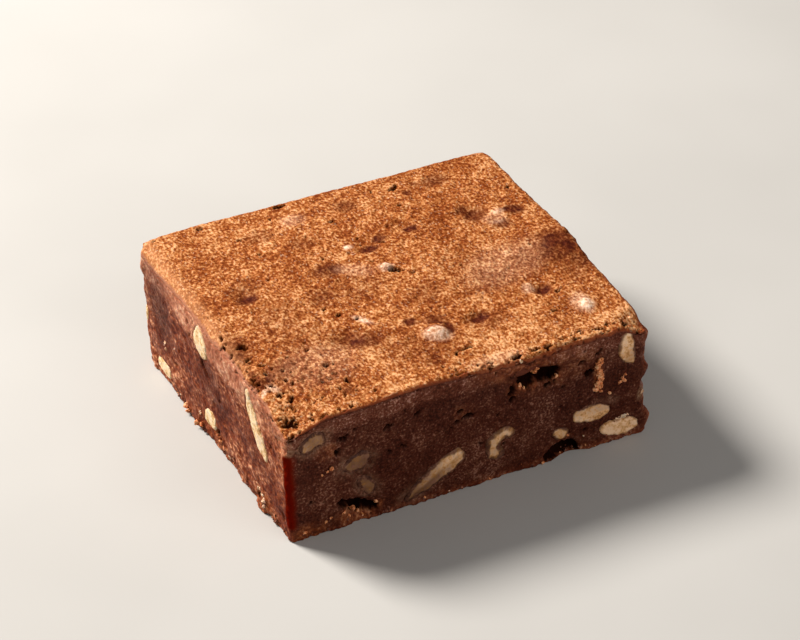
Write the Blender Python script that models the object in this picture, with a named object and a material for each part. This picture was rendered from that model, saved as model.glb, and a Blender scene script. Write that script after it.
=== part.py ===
"""A chocolate brownie with chopped walnuts: one square-cut piece out of a tray.

The brownie is one solid block with a flat underside, upright cut sides and a gently uneven crust on top.
Every walnut piece that the cuts laid bare is a solid of its own. It is trimmed flush with the side it
shows in, and it sits in a pocket that clears it all round.

Metres, +Z up. The origin is the middle of the underside. The front side faces -Y and the left side -X.
"""

import math
import random
from typing import NamedTuple

import bmesh
import bpy
from mathutils import Matrix, Vector, noise

MM = 0.001

# The block before it is worn into shape.
WIDTH = 70 * MM  # along X
DEPTH = 61.2 * MM  # along Y
HEIGHT = 25.3 * MM

# The net of faces that carries the block's shape.
CELLS = (30, 27, 7)  # faces along X, Y and Z
CROWDING = 1.25  # above 1, faces get narrower towards the rims

# The knife didn't cut square: how far each corner lies from the plain box, keyed by its X and Y signs.
TOP_CORNER_SHIFT = {(-1, -1): (-0.5, -0.3), (1, -1): (-0.5, -0.2), (1, 1): (0.4, 0.8), (-1, 1): (-0.7, 1.8)}
BASE_CORNER_SHIFT = {(-1, -1): (0.2, -0.2), (1, -1): (0.8, 0.2), (1, 1): (0.4, -0.4), (-1, 1): (-0.4, -0.4)}

# The upright edges are rounder towards the crust: their radius at the base and at the top.
BASE_CORNER_RADIUS = {(-1, -1): 1.0 * MM, (1, -1): 1.6 * MM, (1, 1): 1.8 * MM, (-1, 1): 1.3 * MM}
TOP_CORNER_RADIUS = {(-1, -1): 1.0 * MM, (1, -1): 1.6 * MM, (1, 1): 3.8 * MM, (-1, 1): 2.6 * MM}
RIM_RADIUS = 1.1 * MM  # where the crust turns over the top edge
LEFT_RIM_RADIUS = 2.4 * MM  # the crust sags over the left edge, but not close to the near corner
SAG_START = 12 * MM

SIDE_WAVE = 0.35 * MM  # how far the cut sides wander in and out
SIDE_WAVE_LENGTH = 9 * MM
TOP_SWELL = 0.45 * MM  # how far the crust rises and falls
TOP_SWELL_LENGTH = 16 * MM
TOP_DOME = 0.5 * MM  # the middle of the crust stands this much above its edges

GAP = 0.3 * MM  # clearance round each walnut piece
WALNUT_NET = (8, 6)  # faces round and along a walnut piece
WALNUT_LUMPINESS = 0.22
WALNUT_SQUARENESS = 2.9  # 2 is an ellipsoid, and above it the chopped faces show
HIDDEN_SIDE_WALNUTS = 5  # on the back and on the right side
HIDDEN_SIDE_SEED = 11

CRUMB_COLOUR = (0.075, 0.024, 0.012, 1)
WALNUT_COLOUR = (0.62, 0.42, 0.22, 1)


class Relief(NamedTuple):
    """A rise (or, below zero, a hollow) in the crust. Its place is measured from the near left corner."""

    x: float
    y: float
    rise: float
    radius: float


class Dent(NamedTuple):
    """A place where crumb broke out of a side: along the side, up from the underside, then its size."""

    side: str
    along: float
    up: float
    radius: float
    depth: float


class Walnut(NamedTuple):
    """A walnut piece in a side. All lengths are in millimetres and all angles in degrees."""

    side: str
    along: float  # from the side's low end along +X or +Y
    up: float
    length: float
    thickness: float
    tilt: float = 0.0  # of the long axis, upwards from the level
    taper: float = 0.0  # how much thicker its far end is
    bend: float = 0.0  # how far it curls from one end to the other
    depth: float = 5.0  # thickness across the side's surface


TOP_RELIEF = (
    Relief(0.4, 0.4, -2.2, 8.0),
    Relief(69.6, 0.2, -2.4, 5.5),
    Relief(67.0, 28.0, 0.9, 9.0),
    Relief(35.0, 13.6, 1.0, 3.4),
    Relief(62.7, 9.4, 0.8, 3.2),
    Relief(62.4, 41.2, 0.8, 3.4),
    Relief(2.4, 12.2, 0.6, 3.0),
    Relief(9.4, 36.8, -0.6, 3.0),
    Relief(20.0, 17.4, -0.6, 3.8),
    Relief(43.0, 13.4, -0.6, 3.0),
    Relief(58.0, 16.4, -0.5, 3.0),
    Relief(44.3, 44.2, -0.5, 2.8),
    Relief(58.2, 43.3, -0.6, 3.4),
    Relief(36.2, 41.6, -0.5, 3.0),
)

# Places where crumb broke out of a side, and with a depth below zero, where it bulges.
DENTS = (
    Dent("front", 13.0, 2.6, 4.2, 1.4),
    Dent("front", 54.2, 0.8, 4.0, 1.3),
    Dent("front", 48.4, 19.8, 3.4, 0.9),
    Dent("right", 30.0, 23.5, 14.0, -0.5),
    Dent("left", 11.2, 0.4, 3.0, -0.9),
    Dent("left", 39.0, 0.4, 5.0, -0.5),
    Dent("right", 8.0, 13.0, 6.0, 0.9),
    Dent("right", 44.0, 3.0, 4.5, 1.1),
    Dent("back", 22.0, 2.0, 4.5, 1.2),
    Dent("back", 51.0, 18.0, 3.6, 0.8),
)

SHOWN_WALNUTS = (
    Walnut("front", 66.1, 20.5, 6.9, 2.9, tilt=-80, taper=-0.2),
    Walnut("front", 58.8, 8.0, 7.2, 3.4, tilt=-3, taper=0.1),
    Walnut("front", 64.4, 2.9, 7.4, 3.5, tilt=-8),
    Walnut("front", 52.5, 5.5, 3.4, 2.4, tilt=-20, depth=3.4),
    Walnut("front", 39.3, 8.6, 8.4, 2.0, tilt=62, taper=-0.14, bend=205, depth=3.6),
    Walnut("front", 27.7, 5.0, 12.6, 3.3, tilt=31, taper=0.42),
    Walnut("front", 4.9, 21.0, 4.2, 3.4, tilt=20, depth=3.8),
    Walnut("front", 12.9, 13.3, 5.5, 3.0, tilt=14, depth=3.8),
    Walnut("front", 14.6, 7.7, 4.2, 2.6, tilt=-55, depth=3.4),
    Walnut("left", 34.6, 19.6, 5.6, 4.6, tilt=42),
    Walnut("left", 53.4, 2.6, 6.0, 3.4, tilt=-4),
    Walnut("left", 60.9, 10.2, 3.6, 2.8, tilt=-78, depth=4.0),
    Walnut("left", 33.0, 4.6, 4.8, 3.6, tilt=-10, depth=4.2),
    Walnut("left", 12.9, 16.7, 12.0, 3.3, tilt=54, taper=-0.36, bend=-60, depth=4.4),
)


def bell(distance: float, radius: float) -> float:
    """A smooth hump: 1 at its middle and 0 from radius on."""
    return max(0.0, 1 - (distance / radius) ** 2) ** 2


def crowd(t: float) -> float:
    """Moves t, from -1 to 1, towards the nearer end."""
    return math.copysign(1 - (1 - abs(t)) ** CROWDING, t)


def rounded(across: float, down: float, radius: float) -> tuple[float, float]:
    """Takes a point's distances inwards from two faces that meet, and bends their square edge to an arc."""
    if across >= radius or down >= radius:
        return across, down
    a, b = radius - across, radius - down
    pull = max(a, b) / math.hypot(a, b)
    return radius - a * pull, radius - b * pull


def corner_shift(u: float, v: float, w: float) -> tuple[float, float]:
    """How far the slanting cuts carry a point, from its place between the corners."""
    dx = dy = 0.0
    for sign_x, sign_y in TOP_CORNER_SHIFT:
        share = (1 + sign_x * u) * (1 + sign_y * v) / 4
        top, base = TOP_CORNER_SHIFT[sign_x, sign_y], BASE_CORNER_SHIFT[sign_x, sign_y]
        dx += share * (w * top[0] + (1 - w) * base[0])
        dy += share * (w * top[1] + (1 - w) * base[1])
    return dx * MM, dy * MM


def side_push(x: float, y: float, z: float, u: float, v: float) -> tuple[float, float]:
    """How far the cut sides wander, and how far their dents go in, near the side that a point is on."""
    place = Vector((x, y, 1.6 * z)) / SIDE_WAVE_LENGTH
    near_x, near_y = abs(u) ** 12, abs(v) ** 12
    dx = SIDE_WAVE * noise.noise(place + Vector((7, 0, 0))) * near_x
    dy = SIDE_WAVE * noise.noise(place + Vector((0, 7, 0))) * near_y
    for dent in DENTS:
        along_x = dent.side in ("front", "back")
        low_end = -WIDTH / 2 if along_x else -DEPTH / 2
        along = (x if along_x else y) - low_end - dent.along * MM
        depth = dent.depth * MM * bell(math.hypot(along, z - dent.up * MM), dent.radius * MM)
        if along_x and (v < 0) == (dent.side == "front"):
            dy -= depth * near_y * math.copysign(1, v)
        if not along_x and (u < 0) == (dent.side == "left"):
            dx -= depth * near_x * math.copysign(1, u)
    return dx, dy


def top_rise(x: float, y: float, u: float, v: float) -> float:
    """How far the crust stands above the plain box."""
    place = Vector((x, y, 0)) / TOP_SWELL_LENGTH
    rise = TOP_SWELL * noise.noise(place) + TOP_DOME * ((1 - u * u) * (1 - v * v) - 0.3)
    for relief in TOP_RELIEF:
        away = math.hypot(x + WIDTH / 2 - relief.x * MM, y + DEPTH / 2 - relief.y * MM)
        rise += relief.rise * MM * bell(away, relief.radius * MM)
    return rise


def rim_radius(x: float, y: float) -> float:
    """How wide an arc the crust makes over the top edge."""
    sag = max(0.0, -2 * x / WIDTH) ** 8 * (1 - bell(y + DEPTH / 2, SAG_START))
    return RIM_RADIUS + (LEFT_RIM_RADIUS - RIM_RADIUS) * sag


def corner_radius(sign_x: int, sign_y: int, z: float) -> float:
    """How round an upright edge is at one height."""
    base, top = BASE_CORNER_RADIUS[sign_x, sign_y], TOP_CORNER_RADIUS[sign_x, sign_y]
    return base + (top - base) * (z / HEIGHT) ** 4


def block_point(plain: Vector) -> Vector:
    """Carries a point of the plain box to its place on the brownie."""
    x, y, z = plain
    sign_x = 1 if x > 0 else -1
    sign_y = 1 if y > 0 else -1
    in_x, in_y = WIDTH / 2 - abs(x), DEPTH / 2 - abs(y)
    in_x, in_y = rounded(in_x, in_y, corner_radius(sign_x, sign_y, z))
    down = HEIGHT - z
    edge = min(in_x, in_y)
    rim_in, down = rounded(edge, down, rim_radius(x, y))
    in_x += (rim_in - edge) * (in_x <= in_y)
    in_y += (rim_in - edge) * (in_y < in_x)
    x, y, z = sign_x * (WIDTH / 2 - in_x), sign_y * (DEPTH / 2 - in_y), HEIGHT - down
    u, v, w = 2 * x / WIDTH, 2 * y / DEPTH, z / HEIGHT
    shift_x, shift_y = corner_shift(u, v, w)
    push_x, push_y = side_push(x, y, z, u, v)
    rise = top_rise(x, y, u, v) * w**5
    return Vector((x + shift_x + push_x, y + shift_y + push_y, z + rise))


def edges_along(mesh: bmesh.types.BMesh, axis: int) -> list[bmesh.types.BMEdge]:
    """The edges that run along one axis."""
    return [e for e in mesh.edges if abs((e.verts[0].co - e.verts[1].co).normalized()[axis]) > 0.99]


def new_object(name: str, mesh: bmesh.types.BMesh, collection: bpy.types.Collection) -> bpy.types.Object:
    """Turns an edited mesh into a smooth-shaded object."""
    data = bpy.data.meshes.new(name)
    mesh.to_mesh(data)
    mesh.free()
    data.shade_smooth()
    data.set_sharp_from_angle(angle=math.radians(50))
    result = bpy.data.objects.new(name, data)
    collection.objects.link(result)
    return result


def make_block(name: str, collection: bpy.types.Collection) -> bpy.types.Object:
    """The whole brownie before any walnut pocket is cut: a box with a net of faces, worn into shape."""
    mesh = bmesh.new()
    bmesh.ops.create_cube(mesh, size=2)
    for axis, cells in enumerate(CELLS):
        bmesh.ops.subdivide_edges(mesh, edges=edges_along(mesh, axis), cuts=cells - 1, use_grid_fill=True)
    for vert in mesh.verts:
        u, v, w = vert.co
        height = crowd((w + 1) / 2) * HEIGHT
        vert.co = block_point(Vector((crowd(u) * WIDTH / 2, crowd(v) * DEPTH / 2, height)))
    underside = [f for f in mesh.faces if all(v.co.z < 0.01 * MM for v in f.verts)]
    for vert in {v for f in underside for v in f.verts}:
        vert.co.z = 0
    bmesh.ops.dissolve_faces(mesh, faces=underside, use_verts=True)
    return new_object(name, mesh, collection)


def side_frame(walnut: Walnut) -> Matrix:
    """Axes at a walnut piece's middle: along its side, upwards, and straight out of the side."""
    on_x = walnut.side in ("front", "back")
    out = -1 if walnut.side in ("front", "left") else 1
    along = Vector((1, 0, 0)) if on_x else Vector((0, 1, 0))
    outward = Vector((0, out, 0)) if on_x else Vector((out, 0, 0))
    start = walnut.along * MM - (WIDTH if on_x else DEPTH) / 2
    across = out * (DEPTH if on_x else WIDTH) / 2
    plain = Vector((start, across, 0)) if on_x else Vector((across, start, 0))
    plain.z = walnut.up * MM
    middle = block_point(plain) - outward * walnut.depth * MM * 0.08
    frame = Matrix((along, Vector((0, 0, 1)), outward)).transposed().to_4x4()
    return Matrix.Translation(middle) @ frame


def lump_point(walnut: Walnut, ball: Vector, seed: float, grow: float) -> Vector:
    """Carries a point of a unit ball to the walnut piece's surface, in the frame of its side."""
    square = sum(abs(c) ** WALNUT_SQUARENESS for c in ball) ** (-1 / WALNUT_SQUARENESS)
    lumps = square * (1 + WALNUT_LUMPINESS * noise.noise(ball * 1.7 + Vector((seed, 0, 0))))
    thick = (walnut.thickness / 2 * MM + grow) * lumps * (1 + walnut.taper * ball.z)
    along = ball.z * (walnut.length / 2 * MM + grow) * lumps
    across = ball.x * thick
    inwards = ball.y * (walnut.depth / 2 * MM + grow) * lumps
    if walnut.bend:
        bend_radius = walnut.length * MM / math.radians(walnut.bend)
        angle = along / bend_radius
        along = (bend_radius + across) * math.sin(angle)
        across = (bend_radius + across) * math.cos(angle) - bend_radius
    tilt = math.radians(walnut.tilt)
    return Vector((
        along * math.cos(tilt) - across * math.sin(tilt),
        along * math.sin(tilt) + across * math.cos(tilt),
        inwards,
    ))


def make_lump(name: str, walnut: Walnut, seed: float, grow: float, collection) -> bpy.types.Object:
    """A whole walnut piece, not yet trimmed, or with grow above 0 the cutter of its pocket."""
    mesh = bmesh.new()
    bmesh.ops.create_uvsphere(mesh, u_segments=WALNUT_NET[0], v_segments=WALNUT_NET[1], radius=1)
    frame = side_frame(walnut)
    for vert in mesh.verts:
        vert.co = frame @ lump_point(walnut, vert.co.copy(), seed, grow)
    mesh.normal_update()
    bmesh.ops.recalc_face_normals(mesh, faces=mesh.faces)
    return new_object(name, mesh, collection)


def hidden_side_walnuts(side: str, rng: random.Random) -> list[Walnut]:
    """Walnut pieces for a side, spread along it in even steps with a loose hand."""
    span = (WIDTH if side in ("front", "back") else DEPTH) / MM
    step = span / HIDDEN_SIDE_WALNUTS
    pieces = []
    for i in range(HIDDEN_SIDE_WALNUTS):
        along = step * (i + 0.5) + rng.uniform(-0.16, 0.16) * step
        up = (5.2, 16.5, 9.0, 18.0, 6.4)[i % 5] + rng.uniform(-1.2, 1.2)
        length, thickness = rng.uniform(4.6, 8.8), rng.uniform(2.6, 3.6)
        tilt, taper = rng.uniform(-38, 38), rng.uniform(-0.25, 0.25)
        pieces.append(Walnut(side, along, up, length, thickness, tilt, taper, depth=rng.uniform(3.6, 4.8)))
    return pieces


def add_boolean(target: bpy.types.Object, operation: str, **operand) -> None:
    """An exact Boolean modifier with one object or one collection as its operand."""
    modifier = target.modifiers.new(operation.title(), "BOOLEAN")
    modifier.operation = operation
    modifier.solver = "EXACT"
    for field, value in operand.items():
        setattr(modifier, field, value)


def make_material(name: str, colour: tuple, roughness: float) -> bpy.types.Material:
    """A plain finish with one colour."""
    material = bpy.data.materials.new(name)
    material.use_nodes = True
    shader = material.node_tree.nodes["Principled BSDF"]
    shader.inputs["Base Color"].default_value = colour
    shader.inputs["Roughness"].default_value = roughness
    shader.inputs["Metallic"].default_value = 0.0
    material.diffuse_color = colour
    return material


def new_collection(name: str, parent: bpy.types.Collection) -> bpy.types.Collection:
    """A collection inside another."""
    result = bpy.data.collections.new(name)
    parent.children.link(result)
    return result


def centre_on_underside(block: bpy.types.Object, others: list[bpy.types.Object]) -> None:
    """Moves every mesh so that the middle of the block's box, at the underside, is the origin."""
    corners = [Vector(corner) for corner in block.bound_box]
    middle = sum(corners, Vector()) / len(corners)
    step = Matrix.Translation((-middle.x, -middle.y, 0))
    for item in (block, *others):
        item.data.transform(step)


def main() -> None:
    """Builds the brownie and its walnut pieces."""
    for item in list(bpy.data.objects):
        bpy.data.objects.remove(item, do_unlink=True)
    scene = bpy.context.scene.collection
    parts = new_collection("brownie", scene)
    cutters = new_collection("cutters", scene)
    pockets = new_collection("walnut_pockets", cutters)

    brownie = make_block("brownie", parts)
    whole_block = make_block("whole_block", cutters)
    rng = random.Random(HIDDEN_SIDE_SEED)
    hidden = hidden_side_walnuts("back", rng) + hidden_side_walnuts("right", rng)
    counts = {}
    pieces = []
    cutter_objects = [whole_block]
    for number, walnut in enumerate((*SHOWN_WALNUTS, *hidden)):
        counts[walnut.side] = counts.get(walnut.side, 0) + 1
        name = f"walnut_{walnut.side}_{counts[walnut.side]}"
        piece = make_lump(name, walnut, 3.7 * number, 0, parts)
        add_boolean(piece, "INTERSECT", object=whole_block)
        pieces.append(piece)
        cutter_objects.append(make_lump(f"pocket_{name}", walnut, 3.7 * number, GAP, pockets))
    add_boolean(brownie, "DIFFERENCE", operand_type="COLLECTION", collection=pockets)
    centre_on_underside(whole_block, [brownie, *pieces, *cutter_objects[1:]])

    for cutter in cutter_objects:
        cutter.hide_render = True
        cutter.display_type = "WIRE"
    brownie.data.materials.append(make_material("fudge_crumb", CRUMB_COLOUR, 0.8))
    for piece in pieces:
        piece.data.materials.append(make_material(piece.name, WALNUT_COLOUR, 0.6))


main()
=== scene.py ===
"""Looks of a square-cut chocolate brownie with chopped walnuts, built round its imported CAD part.

Metres, +Z up. The origin is the middle of the underside, the front side faces -Y and the left side -X.
A place on the brownie is in millimetres from its near left corner at the underside: x runs along the front
side, y along the left side and z upwards. On a side, "along" is x or y and "up" is z.
"""

import logging
import math
from dataclasses import dataclass, field
from enum import Enum

import bmesh
import bpy
import numpy as np
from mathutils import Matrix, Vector, noise
from mathutils.bvhtree import BVHTree
from mathutils.kdtree import KDTree


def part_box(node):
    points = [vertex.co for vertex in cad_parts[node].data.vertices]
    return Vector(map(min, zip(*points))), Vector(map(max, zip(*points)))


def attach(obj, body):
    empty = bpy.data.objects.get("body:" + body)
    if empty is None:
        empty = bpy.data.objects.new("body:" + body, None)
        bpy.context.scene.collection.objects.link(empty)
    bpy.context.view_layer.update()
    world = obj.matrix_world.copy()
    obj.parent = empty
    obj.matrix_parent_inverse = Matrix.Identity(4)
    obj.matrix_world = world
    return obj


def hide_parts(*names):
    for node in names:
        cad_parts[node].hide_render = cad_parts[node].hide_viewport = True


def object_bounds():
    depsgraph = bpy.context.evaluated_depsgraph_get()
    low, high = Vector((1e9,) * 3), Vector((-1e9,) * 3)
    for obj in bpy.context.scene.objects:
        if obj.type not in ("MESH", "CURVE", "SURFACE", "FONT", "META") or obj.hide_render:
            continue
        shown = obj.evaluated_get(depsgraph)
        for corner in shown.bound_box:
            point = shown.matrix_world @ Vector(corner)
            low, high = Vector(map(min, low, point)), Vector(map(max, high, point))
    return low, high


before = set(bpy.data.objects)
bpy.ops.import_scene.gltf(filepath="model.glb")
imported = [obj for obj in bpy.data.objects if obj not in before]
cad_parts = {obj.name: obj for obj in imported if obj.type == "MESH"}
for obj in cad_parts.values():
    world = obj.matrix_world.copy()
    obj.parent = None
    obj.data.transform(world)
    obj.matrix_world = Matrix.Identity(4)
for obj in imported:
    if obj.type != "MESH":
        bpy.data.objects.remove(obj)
CAD_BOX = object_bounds()

LOG = logging.getLogger("brownie")
MM = 0.001
# A noise texture's scale times the size of its bumps, and its middle colour.
BUMPS = 0.6
HALVES = (0.5, 0.5, 0.5)
FULL_TURN = (6.28, 6.28, 6.28)

Array = np.ndarray
Item = bpy.types.Object
Material = bpy.types.Material
Mesh = bpy.types.Mesh
Socket = bpy.types.NodeSocket
Colour = tuple[float, float, float]
Palette = tuple[Colour, ...]
Rows = tuple[tuple, ...]
# Rows in groups: each side (or None for the crust) with its own.
Groups = tuple[tuple, ...]


class Side(Enum):
    """The four cut sides, in the order in which the rim is walked, anticlockwise from above."""

    FRONT = 0
    RIGHT = 1
    BACK = 2
    LEFT = 3

    @property
    def runs_along_x(self) -> bool:
        """Whether places on the side are measured along X."""
        return self in (Side.FRONT, Side.BACK)

    @property
    def outward(self) -> Vector:
        """The level direction straight out of the side."""
        return (Vector((0, -1, 0)), Vector((1, 0, 0)), Vector((0, 1, 0)), Vector((-1, 0, 0)))[self.value]


def ease(t: Array) -> Array:
    """Turns a ramp from 0 to 1 into a soft S curve, flat outside it."""
    t = np.clip(t, 0, 1)
    return t * t * (3 - 2 * t)


def bell(distance: Array, radius: float) -> Array:
    """A smooth hump: 1 at its middle and 0 from radius on."""
    return np.clip(1 - (distance / radius) ** 2, 0, None) ** 2


class Ripple:
    """Smooth noise on whole arrays of points, the same in every run."""

    GAIN = 1.6  # brings the noise to about -1 to 1
    SHIFT = 0.0173  # metres between layers, so that their bumps don't line up

    def __init__(self, seed: int) -> None:
        """Draws the table of slopes.

        Args:
            seed: Picks one pattern.
        """
        rng = np.random.default_rng(seed)
        self.order = rng.permutation(256)
        slopes = rng.normal(size=(256, 3))
        self.slopes = slopes / np.linalg.norm(slopes, axis=1, keepdims=True)

    def at(self, points: Array, size: float) -> Array:
        """One layer of noise.

        Args:
            points: One row of X, Y and Z for each point, in metres.
            size: How far apart the bumps are, in millimetres.

        Returns:
            About -1 to 1 for each point.
        """
        place = points / (size * MM)
        cell = np.floor(place).astype(np.int64)
        inside = place - cell
        smooth = inside**3 * (inside * (inside * 6 - 15) + 10)
        total = np.zeros(len(points))
        for corner in np.ndindex(2, 2, 2):
            key = (cell + corner) & 255
            pick = self.order[(self.order[(self.order[key[:, 0]] + key[:, 1]) & 255] + key[:, 2]) & 255]
            weight = np.prod(np.where(corner, smooth, 1 - smooth), axis=1)
            total += weight * np.einsum("ij,ij->i", self.slopes[pick], inside - corner)
        return total * self.GAIN

    def layers(self, points: Array, size: float, count: int = 3, fade: float = 0.6) -> Array:
        """Several layers of noise, each half the size of the one before.

        Args:
            points: One row of X, Y and Z for each point, in metres.
            size: How far apart the biggest bumps are, in millimetres.
            count: How many layers.
            fade: How strong each layer is next to the one before.

        Returns:
            About -1 to 1 for each point.
        """
        total, share = np.zeros(len(points)), 0.0
        for layer in range(count):
            total += fade**layer * self.at(points + self.SHIFT * layer, size / 2**layer)
            share += fade**layer
        return total / share


@dataclass(frozen=True)
class Mark:
    """A spot on the crust or on a side, in millimetres, with the turn of its long axis in degrees."""

    x: float
    y: float
    radius: float
    strength: float = 1.0
    stretch: float = 1.0
    turn: float = 0.0

    def near(self, x: Array, y: Array) -> Array:
        """Which points are close enough for the spot to matter."""
        return np.abs(x - self.x) + np.abs(y - self.y) < 4 * self.radius * self.stretch

    def reach(self, x: Array, y: Array) -> Array:
        """How far points are from the middle, where 1 is the spot's edge.

        Args:
            x: Along the crust or the side.
            y: Across the crust or up the side.

        Returns:
            The distance in radii for each point.
        """
        turn = math.radians(self.turn)
        dx, dy = x - self.x, y - self.y
        along = (dx * math.cos(turn) + dy * math.sin(turn)) / self.stretch
        across = dy * math.cos(turn) - dx * math.sin(turn)
        return np.hypot(along, across) / self.radius


def spots(x: Array, y: Array, rows: Rows, soft: float) -> Array:
    """How strongly marks cover each point.

    Args:
        x: Along the crust or the side.
        y: Across the crust or up the side.
        rows: The values of each mark.
        soft: How wide each mark's edge is, as a share of its radius.

    Returns:
        The strongest mark's cover for each point.
    """
    total = np.zeros(len(x))
    for row in rows:
        mark = Mark(*row)
        near = mark.near(x, y)
        cover = ease((1 + soft - mark.reach(x[near], y[near])) / (2 * soft))
        total[near] = np.maximum(total[near], mark.strength * cover)
    return total


def holes(x: Array, y: Array, rows: Rows, deepest: float) -> Array:
    """How deep round holes go, in millimetres.

    Args:
        x: Along the crust or the side.
        y: Across the crust or up the side.
        rows: The values of each mark.
        deepest: The depth that no hole passes.

    Returns:
        The depth at each point.
    """
    steepness, least = 1.6, 0.2  # depth for each millimetre of radius, and what every hole has
    outer, wall = 1.5, 0.75  # where the wall starts and how wide it is, in radii
    total = np.zeros(len(x))
    for row in rows:
        mark = Mark(*row)
        near = mark.near(x, y)
        depth = mark.strength * min(deepest, steepness * mark.radius + least)
        total[near] = np.maximum(total[near], depth * ease((outer - mark.reach(x[near], y[near])) / wall))
    return total


def scattered(seed: int, count: int, low: tuple, high: tuple, sizes: tuple[float, float]) -> Rows:
    """Small marks thrown over an oblong.

    Args:
        seed: Picks one throw.
        count: How many.
        low: The oblong's lower corner in millimetres.
        high: Its upper corner.
        sizes: The smallest and biggest radius in millimetres.

    Returns:
        The values of each mark, most of them small.
    """
    rng = np.random.default_rng(seed)
    radius = sizes[0] + (sizes[1] - sizes[0]) * rng.random(count) ** 2.5
    place = rng.uniform(low, high, (count, 2))
    looks = rng.uniform((0.5, 1, 0), (1, 2.2, 180), (count, 3))
    return tuple(map(tuple, np.column_stack([place, radius, looks]).tolist()))


@dataclass(frozen=True)
class BlockForm:
    """The worn shape of the block, as its CAD solid has it, with finer wear that only shows."""

    width: float = 70 * MM
    depth: float = 61.2 * MM
    height: float = 25.3 * MM
    rim_radius: float = 1.1 * MM
    left_rim_radius: float = 2.4 * MM
    sag_start: float = 12 * MM
    side_wave: float = 0.35 * MM
    side_wave_length: float = 9 * MM
    top_swell: float = 0.45 * MM
    top_swell_length: float = 16 * MM
    top_dome: float = 0.5 * MM
    side_power: int = 12  # how fast a side's wear fades inwards
    top_power: int = 5  # how fast the crust's rises fade downwards
    # For each corner's X and Y signs: shift of the top and of the base, radius of the base and of the top.
    corners: tuple = (
        ((-1, -1), (-0.5, -0.3), (0.2, -0.2), 1.0, 1.0),
        ((1, -1), (-0.5, -0.2), (0.8, 0.2), 1.6, 1.6),
        ((1, 1), (0.4, 0.8), (0.4, -0.4), 1.8, 3.8),
        ((-1, 1), (-0.7, 1.8), (-0.4, -0.4), 1.3, 2.6),
    )
    # Rises of the crust: x, y, rise, radius.
    relief: Rows = (
        (0.4, 0.4, -2.2, 8.0), (69.6, 0.2, -2.4, 5.5), (67.0, 28.0, 0.9, 9.0), (35.0, 13.6, 1.0, 3.4),
        (62.7, 9.4, 0.8, 3.2), (62.4, 41.2, 0.8, 3.4), (2.4, 12.2, 0.6, 3.0), (9.4, 36.8, -0.6, 3.0),
        (20.0, 17.4, -0.6, 3.8), (43.0, 13.4, -0.6, 3.0), (58.0, 16.4, -0.5, 3.0), (44.3, 44.2, -0.5, 2.8),
        (58.2, 43.3, -0.6, 3.4), (36.2, 41.6, -0.5, 3.0),
    )
    # Dents of the sides: side, along, up, radius, depth. Below 0 they bulge.
    dents: Rows = (
        (Side.FRONT, 13.0, 2.6, 4.2, 1.4), (Side.FRONT, 54.2, 0.8, 4.0, 1.3),
        (Side.FRONT, 48.4, 19.8, 3.4, 0.9), (Side.RIGHT, 30.0, 23.5, 14.0, -0.5),
        (Side.LEFT, 11.2, 0.4, 3.0, -0.9), (Side.LEFT, 39.0, 0.4, 5.0, -0.5),
        (Side.RIGHT, 8.0, 13.0, 6.0, 0.9), (Side.RIGHT, 44.0, 3.0, 4.5, 1.1),
        (Side.BACK, 22.0, 2.0, 4.5, 1.2), (Side.BACK, 51.0, 18.0, 3.6, 0.8),
    )
    wear: Rows = (
        (Side.RIGHT, 0.6, 23.6, 2.6, -0.7), (Side.RIGHT, 0.8, 14.2, 1.9, -1.0),
        (Side.RIGHT, 0.8, 11.6, 1.7, 0.7), (Side.RIGHT, 0.8, 3.0, 2.9, -1.4),
        (Side.LEFT, 60.6, 20.4, 2.6, -0.6), (Side.LEFT, 57.6, 1.0, 2.2, -0.4),
        (Side.LEFT, 12.4, 1.6, 1.2, 1.2),
    )

    def rounded(self, across: Array, down: Array, radius: Array) -> tuple:
        """Bends the square edge between two faces to an arc.

        Args:
            across: Distance inwards from one face.
            down: Distance inwards from the other.
            radius: The arc's radius.

        Returns:
            The two distances after bending.
        """
        inside = (across < radius) & (down < radius)
        a, b = np.maximum(radius - across, 0), np.maximum(radius - down, 0)
        pull = np.where(inside, np.maximum(a, b) / np.maximum(np.hypot(a, b), 1e-12), 1)
        return np.where(inside, radius - a * pull, across), np.where(inside, radius - b * pull, down)

    def swell(self, x: Array, y: Array, z: Array, length: float, step: tuple) -> Array:
        """The slow noise that both the sides and the crust follow.

        Args:
            x: Place along X.
            y: Place along Y.
            z: Height.
            length: How far apart the swells are.
            step: Moves the pattern, so that two directions differ.

        Returns:
            About -1 to 1 for each point.
        """
        move = Vector(step)
        rows = zip(x.tolist(), y.tolist(), z.tolist())
        return np.array([noise.noise(Vector(row) / length + move) for row in rows])

    def side_push(self, x: Array, y: Array, z: Array, u: Array, v: Array, worn: bool) -> tuple:
        """How far the sides wander and their dents go in.

        Args:
            x: Place along X.
            y: Place along Y.
            z: Height.
            u: Place between the left and right sides, -1 to 1.
            v: Place between the front and back sides, -1 to 1.
            worn: Whether the finer wear is added.

        Returns:
            The pushes along X and Y.
        """
        near_x, near_y = np.abs(u) ** self.side_power, np.abs(v) ** self.side_power
        length = self.side_wave_length
        dx = self.side_wave * self.swell(x, y, 1.6 * z, length, (7, 0, 0)) * near_x
        dy = self.side_wave * self.swell(x, y, 1.6 * z, length, (0, 7, 0)) * near_y
        for side, along, up, radius, depth in self.dents + self.wear * worn:
            place = x + self.width / 2 if side.runs_along_x else y + self.depth / 2
            push = depth * MM * bell(np.hypot(place - along * MM, z - up * MM), radius * MM)
            if side.runs_along_x:
                dy -= side.outward.y * push * near_y * (v * side.outward.y > 0)
            else:
                dx -= side.outward.x * push * near_x * (u * side.outward.x > 0)
        return dx, dy

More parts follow.
